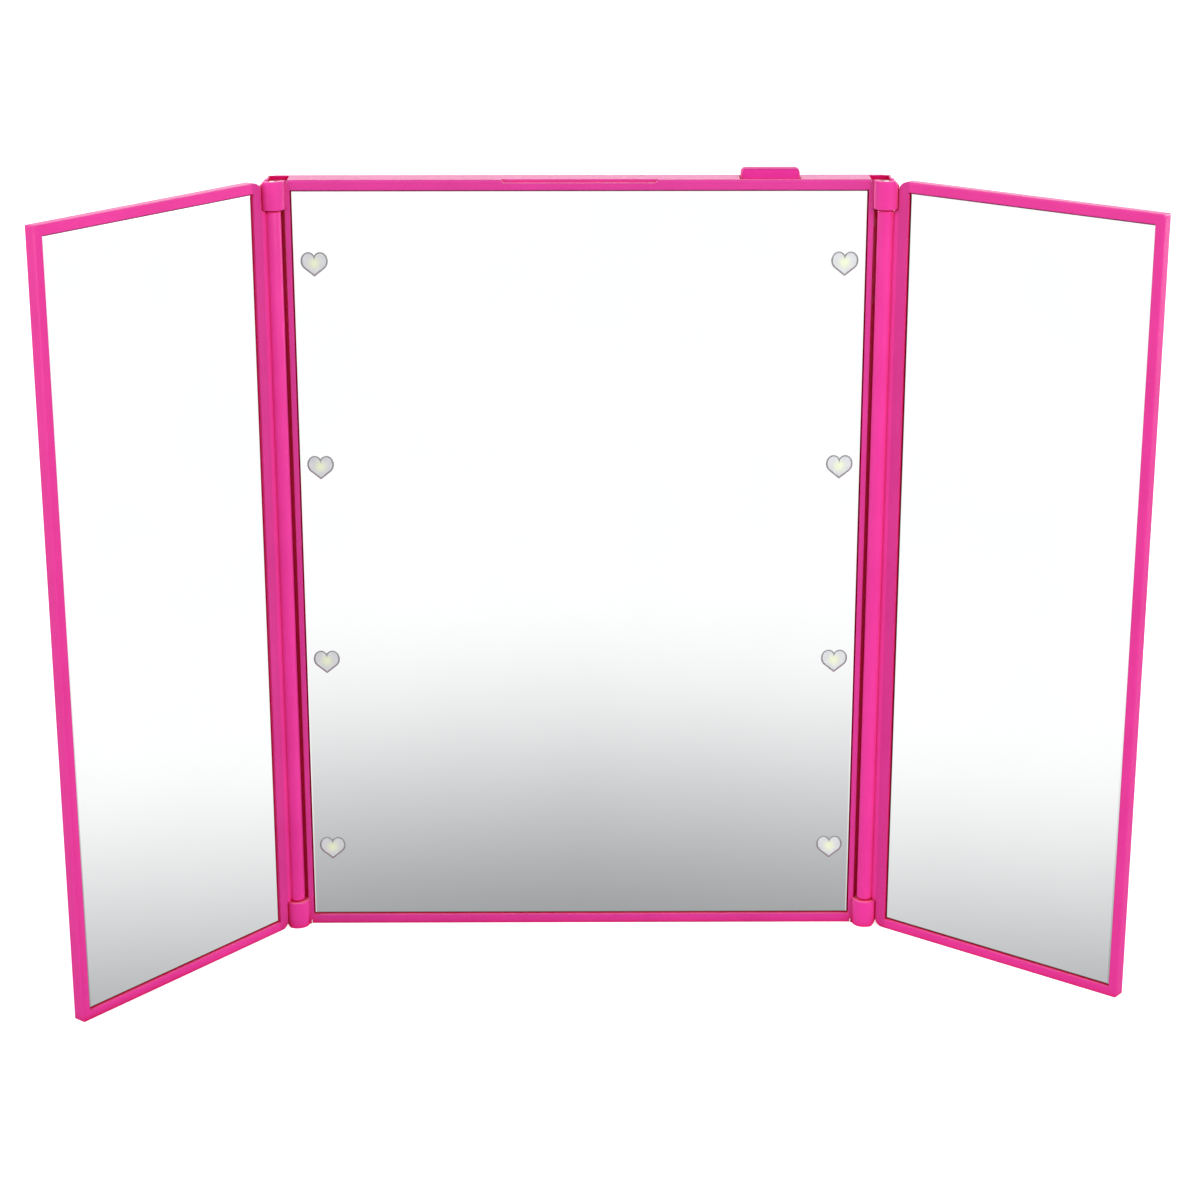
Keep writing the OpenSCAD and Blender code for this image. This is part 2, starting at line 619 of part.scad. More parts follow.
module right_wing_frame() color(PINK) on_wing(1) wing_frame();
module right_wing_mirror() color(SILVER) on_wing(1) wing_mirror();
module right_wing_tape() color(FOAM) on_wing(1) wing_tape();

center_frame();
back_cover();
battery_door();
center_mirror();
center_tape();
heart_windows_left();
heart_windows_right();
led_board_left();
led_board_right();
leds_left();
leds_right();
switch_board();
resistors();
switch_housing();
switch_plunger();
power_button();
cell_left();
cell_right();
contact_left();
contact_right();
contact_bridge();
wires();
cover_screws();
left_hinge_pins();
right_hinge_pins();
left_wing_frame();
left_wing_mirror();
left_wing_tape();
right_wing_frame();
right_wing_mirror();
right_wing_tape();
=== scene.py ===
# %% [markdown]
# # A trifold vanity mirror, finished for its portrait
# The object is a small folding mirror of hot pink moulded plastic: a deep centre case with a lit
# mirror, and two thin wing mirrors on pin hinges. Its construction comes packed as a frame, in
# metres, at its real size. This lesson models every surface that shows, gives it its finish, and
# lights it on a plain white table. Places are read from the frame, and never fitted by eye.

# %% Load the frame
import json
import math

import bpy
from mathutils import Matrix, Vector

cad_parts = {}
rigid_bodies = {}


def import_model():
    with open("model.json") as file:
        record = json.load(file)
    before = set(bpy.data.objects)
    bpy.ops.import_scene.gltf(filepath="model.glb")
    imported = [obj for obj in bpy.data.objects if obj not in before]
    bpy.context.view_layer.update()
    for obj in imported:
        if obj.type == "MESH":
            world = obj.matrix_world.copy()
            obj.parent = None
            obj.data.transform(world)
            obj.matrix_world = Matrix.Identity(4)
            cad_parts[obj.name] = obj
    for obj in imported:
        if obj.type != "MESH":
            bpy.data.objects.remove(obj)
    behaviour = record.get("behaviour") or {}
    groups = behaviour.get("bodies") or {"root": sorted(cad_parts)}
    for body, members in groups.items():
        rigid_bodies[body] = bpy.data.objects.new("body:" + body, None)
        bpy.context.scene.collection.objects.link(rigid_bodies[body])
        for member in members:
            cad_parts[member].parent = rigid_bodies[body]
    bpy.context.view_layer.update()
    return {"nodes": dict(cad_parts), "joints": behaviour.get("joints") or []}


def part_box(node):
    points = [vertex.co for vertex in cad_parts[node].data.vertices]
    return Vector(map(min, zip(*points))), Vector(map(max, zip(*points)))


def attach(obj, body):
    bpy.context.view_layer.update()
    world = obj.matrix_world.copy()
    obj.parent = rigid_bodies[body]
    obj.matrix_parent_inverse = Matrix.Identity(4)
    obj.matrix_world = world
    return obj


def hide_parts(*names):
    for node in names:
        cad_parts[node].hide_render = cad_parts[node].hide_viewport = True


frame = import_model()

MM = 0.001

# %% [markdown]
# ## Measures
# A designer would write these sizes once and build everything from them. They are in the frame
# already, so they are read there: the case from its back cover, the glass from the mirror sheet,
# and the hinge lines from the joints. What a box can't tell, such as a rounding, is named here.

# %% Read the main measures
def box(node):
    """The two far corners of a node's box, in millimetres."""
    return [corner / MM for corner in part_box(node)]


front_low, front_high = box("center_frame")
glass_low, glass_high = box("center_mirror")
board_front = box("led_board_right")[0].y
side_x, back_y, panel_h = box("back_cover")[1]
front_y = -back_y
seam_y = front_high.y
hinges = {joint["child"]: joint for joint in frame["joints"] if joint["type"] == "hinge"}
axis_x, axis_y = (v / MM for v in hinges["right_wing"]["pos_m"][:2])
knuckle_r = axis_y - front_low.y
gap = 0.15  # between pieces that are only close
past = 1  # by which a cutter runs past a face
shy = 0.02  # by which a joined piece stops short of a face
bite = 0.05  # by which a joined piece sinks into the other
print("case half width, depth, height:", side_x, 2 * back_y, panel_h, " hinge axis:", axis_x, axis_y)

# %% [markdown]
# The wings are folded forward by different angles at rest. A wing is far easier to model flat, with
# X running out from its hinge, so a helper turns a wing's node back into that flat frame and
# measures it there.

# %% Measure a wing in its own flat frame
SIDES = {"left": -1, "right": 1}
folds = {side: math.radians(-hinges[side + "_wing"]["range_deg"][0]) for side in SIDES}


def hung(side):
    """The matrix that takes a flat wing, drawn for the right, to its folded place."""
    sign = SIDES[side]
    turn = Matrix.Rotation(-sign * folds[side], 4, "Z")
    return Matrix.Translation((sign * axis_x, axis_y, 0)) @ turn @ Matrix.Diagonal((sign, 1, 1, 1))


def flat_box(node, side):
    back = hung(side).inverted()
    spots = [back @ (v.co / MM) for v in frame["nodes"][node].data.vertices]
    return [Vector(pick(p[i] for p in spots) for i in range(3)) for pick in (min, max)]


wing_low, wing_high = flat_box("right_wing_frame", "right")
pane_low, pane_high = flat_box("right_wing_mirror", "right")
barrel_r = -wing_low.x
print("flat wing, mm:", [round(v, 2) for v in wing_low], [round(v, 2) for v in wing_high])

# %% [markdown]
# ## The bench tools
# Every piece starts as a primitive at its own size and place, and is then shaped. These few tools
# do what a hand does in the viewport: add a block or a rod, select edges or faces by where they
# lie, cut one solid with another, and round what is sharp. Booleans dislike two faces in one plane,
# so a cutter runs past the face it cuts, and a joined piece stands a hair shy of the face it meets.
# A finished piece keeps its place in its mesh and its object at the origin, so patterns on Object
# coordinates stay put.


# %% Add a block or a rod
def alone(piece):
    """Select one piece and nothing else."""
    bpy.ops.object.select_all(action="DESELECT")
    piece.select_set(True)
    bpy.context.view_layer.objects.active = piece


def absorb(piece):
    """Put a piece's place, turn and size into its mesh."""
    alone(piece)
    bpy.ops.object.transform_apply(location=True, rotation=True, scale=True)
    return piece


def settle(name):
    """Name the fresh primitive and settle it at the origin."""
    piece = bpy.context.object
    piece.name = piece.data.name = name
    return absorb(piece)


def block(name, x, y, z):
    """A box between pairs of limits."""
    middle = [(low + high) / 2 for low, high in (x, y, z)]
    bpy.ops.mesh.primitive_cube_add(size=1, location=middle, scale=[b - a for a, b in (x, y, z)])
    return settle(name)


def rod(name, radius, start, end, sides=64, radius_end=None):
    """A round bar from one point to another, tapered where it has a second radius."""
    start, end = Vector(start), Vector(end)
    bpy.ops.mesh.primitive_cone_add(
        vertices=sides, radius1=radius, radius2=radius if radius_end is None else radius_end,
        depth=(end - start).length, location=(start + end) / 2,
        rotation=(end - start).to_track_quat("Z", "Y").to_euler())
    return settle(name)


# %% Select by place, in edit mode
def pick(piece, kind, wanted):
    """Enter edit mode with just the edges or faces for which wanted(points) is true."""
    alone(piece)
    bpy.ops.object.mode_set(mode="EDIT")
    bpy.ops.mesh.select_mode(type=kind)
    bpy.ops.mesh.select_all(action="DESELECT")
    bpy.ops.object.mode_set(mode="OBJECT")
    spots = piece.data.vertices
    for part in piece.data.edges if kind == "EDGE" else piece.data.polygons:
        part.select = bool(wanted([spots[i].co for i in part.vertices]))
    bpy.ops.object.mode_set(mode="EDIT")


def wider(limits, more):
    return limits[0] - more, limits[1] + more


def lies_on(points, axis, target, within=0.01):
    """True where every point has that coordinate."""
    return all(abs(p[axis] - target) < within for p in points)


def runs_along(points, axis):
    """True for an edge parallel to that axis."""
    change = points[0] - points[1]
    return abs(change[axis]) > 0.999 * change.length


def round_edges(piece, width, segments, wanted):
    """Round the edges that are wanted, as with the bevel tool."""
    pick(piece, "EDGE", wanted)
    bpy.ops.mesh.bevel(offset=width, segments=segments, profile=0.5, affect="EDGES", clamp_overlap=True)
    bpy.ops.object.mode_set(mode="OBJECT")
    return piece


# %% Cut, join, slice and soften
def modify(piece, kind, **settings):
    """Add a modifier with those settings and apply it."""
    alone(piece)
    bpy.ops.object.modifier_add(type=kind)
    step = piece.modifiers[-1]
    for name, value in settings.items():
        setattr(step, name, value)
    bpy.ops.object.modifier_apply(modifier=step.name)
    return piece


def reshape(piece, operator, **settings):
    """Run one of edit mode's operators on the whole of a mesh."""
    alone(piece)
    bpy.ops.object.mode_set(mode="EDIT")
    bpy.ops.mesh.select_all(action="SELECT")
    operator(**settings)
    bpy.ops.object.mode_set(mode="OBJECT")
    return piece


def combine(piece, tools, operation):
    for tool in tools:
        modify(piece, "BOOLEAN", operation=operation, solver="EXACT", object=tool)
        bpy.data.objects.remove(tool)
    return piece


def cut(piece, *tools):
    return combine(piece, tools, "DIFFERENCE")


def join(piece, *tools):
    return combine(piece, tools, "UNION")


def slice_off(piece, spot, facing):
    """Cut away all that lies on the facing side of a plane, and close the cut."""
    return reshape(piece, bpy.ops.mesh.bisect, plane_co=spot, plane_no=facing, use_fill=True,
                   clear_outer=True)


def face_outwards(piece):
    """Turn every face of a closed piece outwards again, as after mirroring."""
    return reshape(piece, bpy.ops.mesh.normals_make_consistent, inside=False)


def smooth(piece, angle=40):
    """Merge doubles and shade smooth across every edge flatter than the angle."""
    reshape(piece, bpy.ops.mesh.remove_doubles, threshold=0.002)
    face_outwards(piece)
    bpy.ops.object.shade_smooth_by_angle(angle=math.radians(angle))
    return modify(piece, "WEIGHTED_NORMAL", keep_sharp=True)


def soften(piece, width, angle=40):
    """Break every sharp edge a little, as a mould does, and shade the curves smooth."""
    modify(piece, "BEVEL", width=width, segments=2, limit_method="ANGLE", angle_limit=math.radians(angle))
    return smooth(piece, angle)


def gather(name, pieces, angle=40):
    """Make one piece of several separate solids."""
    alone(pieces[0])
    for piece in pieces:
        piece.select_set(True)
    bpy.ops.object.join()
    pieces[0].name = pieces[0].data.name = name
    return smooth(pieces[0], angle)


# %% [markdown]
# ## The case front
# The front half of the case is one moulding: a thin rim, a web behind the mirror, side walls with a
# cove that the wing's barrel turns in, and four hinge knuckles. It is shaped the way the mould is
# milled: a block with rounded outline corners, two long coves, and a pocket for the mirror.

# %% Rough out the case front
corner_r = 1.3
front_r = 0.35
cove_r = 2.55
rim_side_x = axis_x - cove_r
rim_side_w = 1.1
side_wall = 1.5
room_x = rim_side_x - side_wall
rim_z = glass_low.z - gap
glass_top = panel_h - rim_z
web_front = glass_high.y
web_back = board_front - bite
tape_room = 0.2


def cove_cutters():
    """Solids that mill the cove along both sides of the case."""
    foot, top = -past, panel_h + past
    for sign in (-1, 1):
        x = sign * axis_x
        yield rod("cove", cove_r, (x, axis_y, foot), (x, axis_y, top), 96)
        yield block("cove_side", sorted((x, sign * (side_x + past))), (front_y - past, axis_y + cove_r),
                    (foot, top))


case_front = block("case_front", (-side_x, side_x), (front_y, seam_y), (0, panel_h))
round_edges(case_front, corner_r, 6, lambda p: runs_along(p, 1))
round_edges(case_front, front_r, 3, lambda p: lies_on(p, 1, front_y))
cut(case_front, *cove_cutters())
cut(case_front, block("mirror_pocket", wider((-rim_side_x, rim_side_x), -rim_side_w),
                      (front_y - past, web_front + tape_room), (rim_z, glass_top)))
cut(case_front, block("back_room", (-room_x, room_x), (web_back, seam_y + past), (rim_z, glass_top)))
print("case front roughed out:", len(case_front.data.polygons), "faces")

# %% [markdown]
# The knuckles are what holds the wings: a short round lug at each end of the cove, with a block
# behind it, a sloping outer shoulder, and a funnel through which the pin is driven in. One is
# modelled for the top right and then mirrored to the other three places. A mirrored mesh turns
# inside out, so its faces are turned outwards again. A square pocket behind each lug, in the end of
# the case, leaves room for the tool that drives the pin.

# %% Model one knuckle
knuckle_h = 6.1
side_out = side_x - axis_x
shoulder_w, shoulder_h = 1.1, 1.7
pin_r = 0.7
pin_fit = 0.01
funnel_r, funnel_flare = pin_r + 0.2, 1.6
pocket_in, pocket_out, pocket_d = -3.25, 0.9, 0.9
pocket_y = (axis_y + 0.1, seam_y - 0.6)
knuckle_back = seam_y - axis_y - shy
knuckle_in = -cove_r - 0.55
knuckle_soft = 0.6


def knuckle():
    """The top right knuckle, with the hinge axis at X = Y = 0 and its upper face at Z = 0."""
    lug = rod("knuckle", knuckle_r, (0, 0, -knuckle_h - past), (0, 0, past), 96)
    join(lug, block("knuckle_foot", (knuckle_in, side_out - shy), (shy, knuckle_back),
                    (-knuckle_h - 2 * past, 2 * past)))
    slice_off(lug, (0, 0, -shy), (0, 0, 1))
    slice_off(lug, (0, 0, -knuckle_h), (0, 0, -1))
    for z, width in ((-shy, knuckle_soft), (-knuckle_h, knuckle_soft / 2)):
        round_edges(lug, width, 5, lambda p: lies_on(p, 2, z) and max(q.y for q in p) < shy / 2)
    slice_off(lug, (knuckle_r - shoulder_w, 0, 0), (shoulder_h, 0, shoulder_w))
    return cut(lug, rod("pin_hole", pin_r + pin_fit, (0, 0, -knuckle_h - past), (0, 0, past), 32),
               rod("pin_funnel", funnel_r, (0, 0, -pocket_d), (0, 0, pocket_d), 48,
                   funnel_r + funnel_flare))


def placed_knuckles():
    """A knuckle for each end of each side, each with its own mesh."""
    pattern = knuckle()
    for sign in (-1, 1):
        for up in (-1, 1):
            copy = pattern.copy()
            copy.data = pattern.data.copy()
            bpy.context.collection.objects.link(copy)
            copy.location = (sign * axis_x, axis_y, panel_h if up > 0 else 0)
            copy.scale = (sign, 1, up)
            absorb(copy)
            yield face_outwards(copy) if sign * up < 0 else copy
    bpy.data.objects.remove(pattern)


join(case_front, *placed_knuckles())
for sign in (-1, 1):
    x = sorted(sign * (axis_x + side) for side in (pocket_in, pocket_out))
    for z in ((-past, pocket_d + shy), (panel_h - pocket_d - shy, panel_h + past)):
        cut(case_front, block("pin_pocket", x, pocket_y, z))
print("with knuckles:", len(case_front.data.polygons), "faces")

# %% [markdown]
# Behind the web lie the places for what the case holds: a boss for each screw, a hole for each
# light, a ring round each coin cell and a rail beside the battery door. The top edge has a shallow
# finger recess and the slot that the power button drops into.

# %% Add the bosses, rings and rails, then open the top edge
screw_low, screw_high = box("cover_screws")
cell_low, cell_high = box("cell_right")
door_low, door_high = box("battery_door")
cap_low, cap_high = box("power_button")
heart_low, heart_high = box("heart_windows_right")
cell_r = (cell_high.x - cell_low.x) / 2
cell_x, cell_z = (cell_high.x + cell_low.x) / 2, (cell_high.z + cell_low.z) / 2
head_r, shank_r, boss_r = 1.6, 0.8, 2.3
thread_fit, boss_floor = 0.02, 0.4
light_r = 2.1
ring_w, ring_low, leaf_half = 1.05, 0.2, 1.35
rail_in, rail_half = 0.65, 1.2
screw_x = screw_high.x - head_r
screw_z = screw_low.z + head_r
heart_w = heart_high.x - heart_low.x
heart_side = heart_w / (1 + math.sqrt(0.5))
heart_x = (heart_high.x + heart_low.x) / 2
heart_foot = heart_low.z + heart_side * math.sqrt(0.5)
HEARTS = 4
heart_step = (heart_high.z - heart_low.z - heart_side * (0.5 + 3 * math.sqrt(0.125))) / (HEARTS - 1)
screw_spots = [(x, z) for x in (-screw_x, screw_x) for z in (screw_z, panel_h - screw_z)]
heart_spots = [(x, heart_foot + i * heart_step) for x in (-heart_x, heart_x) for i in range(HEARTS)]
print("hearts at, mm:", [(round(x, 2), round(z, 2)) for x, z in heart_spots[:HEARTS]])


def peg(name, x, z, y0, y1, radius, sides=32):
    """A round bar along Y."""
    return rod(name, radius, (x, y0, z), (x, y1, z), sides)


for x, z in screw_spots:
    join(case_front, peg("boss", x, z, web_back - bite, seam_y, boss_r))
    cut(case_front, peg("boss_hole", x, z, web_back + boss_floor, seam_y + past, shank_r + thread_fit))
for x, z in heart_spots:
    cut(case_front, peg("light_hole", x, z, front_y, web_back + past, light_r))
for sign in (-1, 1):
    bay_x = sign * cell_x
    ring = peg("bay_ring", bay_x, cell_z, web_back - bite, cell_high.y - ring_low, cell_r + ring_w, 96)
    cut(ring, peg("bay", bay_x, cell_z, web_back - past, seam_y, cell_r + gap, 96))
    cut(ring, block("leaf_slot", (bay_x - leaf_half, bay_x + leaf_half), (web_back, seam_y),
                    (cell_z, cell_z + 2 * cell_r)))
    rail_x = sign * (door_high.x - rail_in)
    rail = block("rail", (rail_x - rail_half, rail_x + rail_half), (web_back - bite, seam_y - shy),
                 (rim_z - bite, door_high.z))
    join(case_front, ring, rail)

recess_x, recess_d, recess_t = 17.4, 0.7, 0.7
recess = block("finger_recess", (-recess_x, recess_x), (front_y - past, front_y + recess_t),
               (panel_h - recess_d, panel_h + recess_d))
pick(recess, "FACE", lambda p: lies_on(p, 2, panel_h - recess_d))
bpy.ops.transform.resize(value=(1 - 2 * recess_d / recess_x, 1, 1))
bpy.ops.object.mode_set(mode="OBJECT")
cut(case_front, recess)
cap_d, slot_d = 4.2, 1.6
cut(case_front, block("button_slot", wider((cap_low.x, cap_high.x), gap),
                      wider((cap_low.y, cap_low.y + cap_d), gap), (panel_h - slot_d, panel_h + past)))
smooth(case_front)
print("case front finished:", len(case_front.data.polygons), "faces")

# %% [markdown]
# ## The back cover and the battery door
# The cover closes the case from behind. Its long edges are well rounded, so that the mirror feels
# slim in the hand, and four screws sink into it. The battery door slides down off its lower edge;
# five shallow grooves, the widest lowest, tell the thumb which way to push.

# %% Model the back cover
back_r = 1.6
cover_in = back_y - 1.1
head_floor = back_y - 0.9
door_gap_x = door_high.x - 0.8
door_top = door_high.z - 0.65
lip_w = 0.8
rib_in, rib_w, rib_t = 8, 1, 0.5
rib_heights = [share * panel_h for share in (0.36, 0.5, 0.64)]
tongue_t = 0.55


def rounded_back(name, x, y, z):
    """A block whose back edges and outline corners are rounded in one go."""
    piece = block(name, x, y, z)
    return round_edges(piece, back_r, 6, lambda p: runs_along(p, 1) or lies_on(p, 1, back_y))


room_wide, room_tall = (-room_x, room_x), (rim_z, glass_top)
below_seam = (seam_y - 2 * past, back_y)
back_shell = rounded_back("back_shell", (-side_x, side_x), (seam_y + bite, back_y), (0, panel_h))
cut(back_shell, block("cover_room", room_wide, (seam_y - past, cover_in), room_tall))
lip = block("lip", wider(room_wide, -gap), (seam_y - past, cover_in + shy), wider(room_tall, -gap))
cut(lip, block("lip_room", wider(room_wide, -gap - lip_w), below_seam, wider(room_tall, -gap - lip_w)),
    block("lip_button", (cap_low.x, cap_high.x), (below_seam[0], seam_y + bite), (panel_h / 2, panel_h)),
    block("lip_door", (-2 * door_high.x, 2 * door_high.x), below_seam, (0, rim_z + 2)))
join(back_shell, lip)
for z in rib_heights:
    join(back_shell, block("rib", wider(room_wide, -rib_in), (cover_in - rib_t, cover_in + bite),
                           (z - rib_w / 2, z + rib_w / 2)))
for x, z in screw_spots:
    join(back_shell, peg("cover_boss", x, z, seam_y + bite, cover_in + bite, boss_r))
    cut(back_shell, peg("screw_hole", x, z, seam_y - past, back_y + 2 * past, shank_r + gap, 36),
        peg("counterbore", x, z, head_floor, back_y + past, head_r + gap, 48))
cut(back_shell,
    block("door_opening", (-door_gap_x, door_gap_x), (seam_y - past, back_y + past), (-past, door_top)),
    block("tongue_slot", wider((-door_high.x, door_high.x), 2 * gap),
          (below_seam[0], seam_y + tongue_t + 2 * gap), (-past, door_high.z + 2 * gap)))
smooth(back_shell)
print("back shell:", len(back_shell.data.polygons), "faces")

# %% Model the battery door
door_foot = 0.3
GROOVES = 5
grip_step, grip_foot, grip_half = 1.6, 7.4, 7
groove_r, groove_out, groove_flat = 0.55, 0.1, 0.8
slide_door = rounded_back("slide_door", (-side_x, side_x), (door_low.y, back_y), (0, panel_h))
panel = block("door_panel", wider((-door_gap_x, door_gap_x), -gap), (door_low.y, back_y + past),
              (door_foot, door_top - gap))
combine(slide_door, [panel], "INTERSECT")
join(slide_door, block("door_tongue", (door_low.x, door_high.x), (door_low.y, door_low.y + tongue_t),
                       (back_r, door_high.z)))
for i in range(GROOVES):
    half = grip_half - i
    groove = peg("groove", 0, 0, -half, half, groove_r, 24)
    groove.rotation_euler.z = math.pi / 2
    groove.scale = (1, 1, groove_flat)
    groove.location = (0, back_y + groove_out, grip_foot + i * grip_step)
    cut(slide_door, absorb(groove))
bridge_low, bridge_high = box("contact_bridge")
seat_x, seat_z = (wider((bridge_low[i], bridge_high[i]), gap) for i in (0, 2))
cut(slide_door, block("bridge_seat", seat_x, (door_low.y - past, bridge_high.y + shy / 2), seat_z))
soften(slide_door, 0.08)
print("battery door:", len(slide_door.data.polygons), "faces")

# %% [markdown]
# ## The power button
# A press button on a pocket mirror is a small rounded bar that narrows a little towards its top,
# where its edge is well rounded. Under it a stem with a flange runs through the rim and rests on the
# switch.

# %% Model the button
cap_foot = panel_h - 0.6
cap_slim_x, cap_slim_y = 0.1, 0.3
cap_corner_r, cap_top_r = 1.2, 0.9
stem_half, stem_t, flange_more, flange_t = 3.5, 1.6, 1, 0.8
cap = block("press_button", (cap_low.x, cap_high.x), (cap_low.y, cap_low.y + cap_d),
            (cap_foot, cap_high.z))
pick(cap, "FACE", lambda p: lies_on(p, 2, cap_high.z))
bpy.ops.transform.resize(value=(1 - cap_slim_x / (cap_high.x - cap_low.x), 1 - cap_slim_y / cap_d, 1))
bpy.ops.object.mode_set(mode="OBJECT")
round_edges(cap, cap_corner_r, 6, lambda p: abs(p[0].z - p[1].z) > 1)
round_edges(cap, cap_top_r, 6, lambda p: lies_on(p, 2, cap_high.z))
stem_middle = (cap_low.x + cap_high.x) / 2
stem_x = (stem_middle - stem_half, stem_middle + stem_half)
stem_y = (web_back + 0.4, web_back + 0.4 + stem_t - shy)
join(cap, block("stem", stem_x, stem_y, (cap_low.z, cap_foot + bite)),
     block("flange", wider(stem_x, flange_more), stem_y, (cap_low.z, cap_low.z + flange_t)))
soften(cap, 0.06)
print("button:", len(cap.data.polygons), "faces")

# %% [markdown]
# ## The wings
# A wing is a thin tray for its mirror with a long barrel down one edge. It is modelled flat, for the
# right side, with the hinge axis at the origin: a plate with rounded corners, which starts just
# clear of the knuckles, a root that fills the length between them, a neck, the barrel, and a filler
# that leaves a soft valley between barrel and plate. The finished shell is then hung on its axis,
# mirrored for the left.

# %% Model a wing flat, then hang it
wing_front, wing_back = 0.2, wing_high.y
plate_x = knuckle_r + gap
root_x = side_out + 0.6
root_z = (knuckle_h + gap, panel_h - knuckle_h - gap)
barrel_end, barrel_soft = knuckle_h + 0.25, 0.45
neck_t, valley_r = 1.35, 0.8
pin_reach, pin_ease, bore_l = 6.5, 0.05, 7
hinge_corner, free_corner = 2.4, 0.8
wing_back_r = (wing_back - wing_front) / 3


def hang(piece, side):
    """Put a flat piece on its hinge at the rest fold, with its place in its mesh."""
    piece.matrix_world = hung(side)
    absorb(piece)
    return face_outwards(piece) if SIDES[side] < 0 else piece


def barrel_and_neck():
    """The long barrel, the neck that carries it, and the filler of the valley beside it."""
    low, high = barrel_end, panel_h - barrel_end
    barrel = rod("barrel", barrel_r, (0, 0, low), (0, 0, high), 64)
    round_edges(barrel, barrel_soft, 4, lambda p: lies_on(p, 2, low) or lies_on(p, 2, high))
    inner = (low + barrel_soft, high - barrel_soft)
    neck = block("neck", (0, root_x + past), (wing_front + shy, wing_front + neck_t), inner)
    valley_x = math.sqrt((barrel_r + valley_r) ** 2 - (valley_r - wing_front) ** 2)
    filler = block("filler", (0, valley_x - shy), (wing_front - 2 * valley_r, wing_front + 0.5),
                   (inner[0] + shy, inner[1] - shy))
    slice_off(filler, (0, 0, 0), (valley_r - wing_front, -valley_x, 0))
    middle = (valley_x - shy, wing_front - valley_r + shy)
    cut(filler, rod("valley", valley_r, (*middle, -past), (*middle, panel_h + past), 48))
    return neck, barrel, filler


def wing_plate(name):
    """The common part of three blocks, each rounded as one view of the plate is."""
    x, y, z = (plate_x, wing_high.x), (wing_front, wing_back), (0, panel_h)
    plan = block(name, x, y, wider(z, past))
    side = block("side_view", wider(x, past), wider(y, shy), z)
    face = block("face_view", wider(x, shy), wider(y, past), wider(z, shy))
    for piece, axis in ((plan, 2), (side, 0)):
        round_edges(piece, front_r, 3, lambda p: runs_along(p, axis) and p[0].y < wing_front + shy)
        round_edges(piece, wing_back_r, 6, lambda p: runs_along(p, axis) and p[0].y > wing_back - shy)
    round_edges(face, hinge_corner, 8, lambda p: runs_along(p, 1) and p[0].x < plate_x + shy)
    round_edges(face, free_corner, 6, lambda p: runs_along(p, 1) and p[0].x > wing_high.x - shy)
    return combine(plan, [side, face], "INTERSECT")


def wing_shell(name):
    shell = wing_plate(name)
    root = block("root", (root_x, plate_x + 2 * wing_back_r), (wing_front + shy, wing_back - shy), root_z)
    round_edges(root, wing_back_r, 5, lambda p: lies_on(p, 1, wing_back - shy) and lies_on(p, 0, root_x))
    join(shell, root)
    join(shell, *barrel_and_neck())
    cut(shell, block("mirror_pocket", wider((pane_low.x, pane_high.x), gap),
                     (wing_front - past, pane_high.y + tape_room), wider((pane_low.z, pane_high.z), gap)))
    for z in (barrel_end - past, panel_h - barrel_end - bore_l):
        cut(shell, rod("pin_bore", pin_r + pin_ease, (0, 0, z), (0, 0, z + bore_l + past), 32))
    return smooth(shell)


wing_shells = {side: hang(wing_shell("wing_shell_" + side), side) for side in SIDES}
print("wing shell:", len(wing_shells["left"].data.polygons), "faces")

# %% [markdown]
# ## Mirrors and heart windows
# The sheets are cut glass: flat, with a narrow polished bevel that catches the light as a thin
# bright line. The centre sheet has eight heart openings. These hearts have two upright oval lobes
# with a notch between them, and straight flanks that run from where they touch the lobes down to
# the tip. So a circle is added, and its points are put on that outline, which is then extruded.

# %% Cut the sheets and the hearts
polish_w = 0.25
sheet_in = 0.2  # the sheets are cut smaller than their pockets
lobe_wide, lobe_tall, tip_drop = 0.277, 0.333, 0.581  # as shares of the heart's width
flank = math.radians(40)
LOBE_STEPS = 20


def heart_prism(name, inset, x, z, y0, y1):
    """A heart of the frame's width, less an inset all round, its light's place at x, z."""
    wide, tall = lobe_wide * heart_w - inset, lobe_tall * heart_w - inset
    apart = (0.5 - lobe_wide) * heart_w
    tip = tip_drop * heart_w - inset / math.cos(flank)
    reach = tip * wide / tall
    start = math.acos(-apart / wide)
    end = math.atan2(reach, apart) - math.asin(wide / math.hypot(apart, reach)) - math.pi / 2
    turns = [start + (end - start) * i / LOBE_STEPS for i in range(LOBE_STEPS + 1)]
    half = [(apart + wide * math.cos(turn), tall * math.sin(turn)) for turn in turns]
    outline = half + [(0, -tip)] + [(-u, v) for u, v in reversed(half[1:])]
    bpy.ops.mesh.primitive_circle_add(vertices=len(outline), fill_type="NGON")
    piece = settle(name)
    lobe_z = z - heart_side * math.sqrt(0.5) + tip_drop * heart_w
    for vertex, (u, v) in zip(piece.data.vertices, outline):
        vertex.co = (x + u, y0, lobe_z + v)
    reshape(piece, bpy.ops.mesh.extrude_region_move, TRANSFORM_OT_translate={"value": (0, y1 - y0, 0)})
    return face_outwards(piece)


sheet = block("center_sheet", wider((glass_low.x, glass_high.x), -sheet_in), (glass_low.y, glass_high.y),
              wider((glass_low.z, glass_high.z), -sheet_in))
round_edges(sheet, polish_w, 1, lambda p: lies_on(p, 1, glass_low.y))
for x, z in heart_spots:
    cut(sheet, heart_prism("heart_opening", -bite, x, z, front_y, web_front + past))
smooth(sheet, 20)


def wing_sheet(side):
    x, y, z = zip(pane_low, pane_high)
    piece = block("wing_sheet_" + side, wider(x, -sheet_in), y, wider(z, -sheet_in))
    round_edges(piece, polish_w, 1, lambda p: lies_on(p, 1, pane_low.y))
    return hang(smooth(piece, 20), side)


wing_sheets = {side: wing_sheet(side) for side in SIDES}
print("centre sheet:", len(sheet.data.polygons), "faces")

# %% Make the windows
rim_w, rim_d = 0.3, 0.12


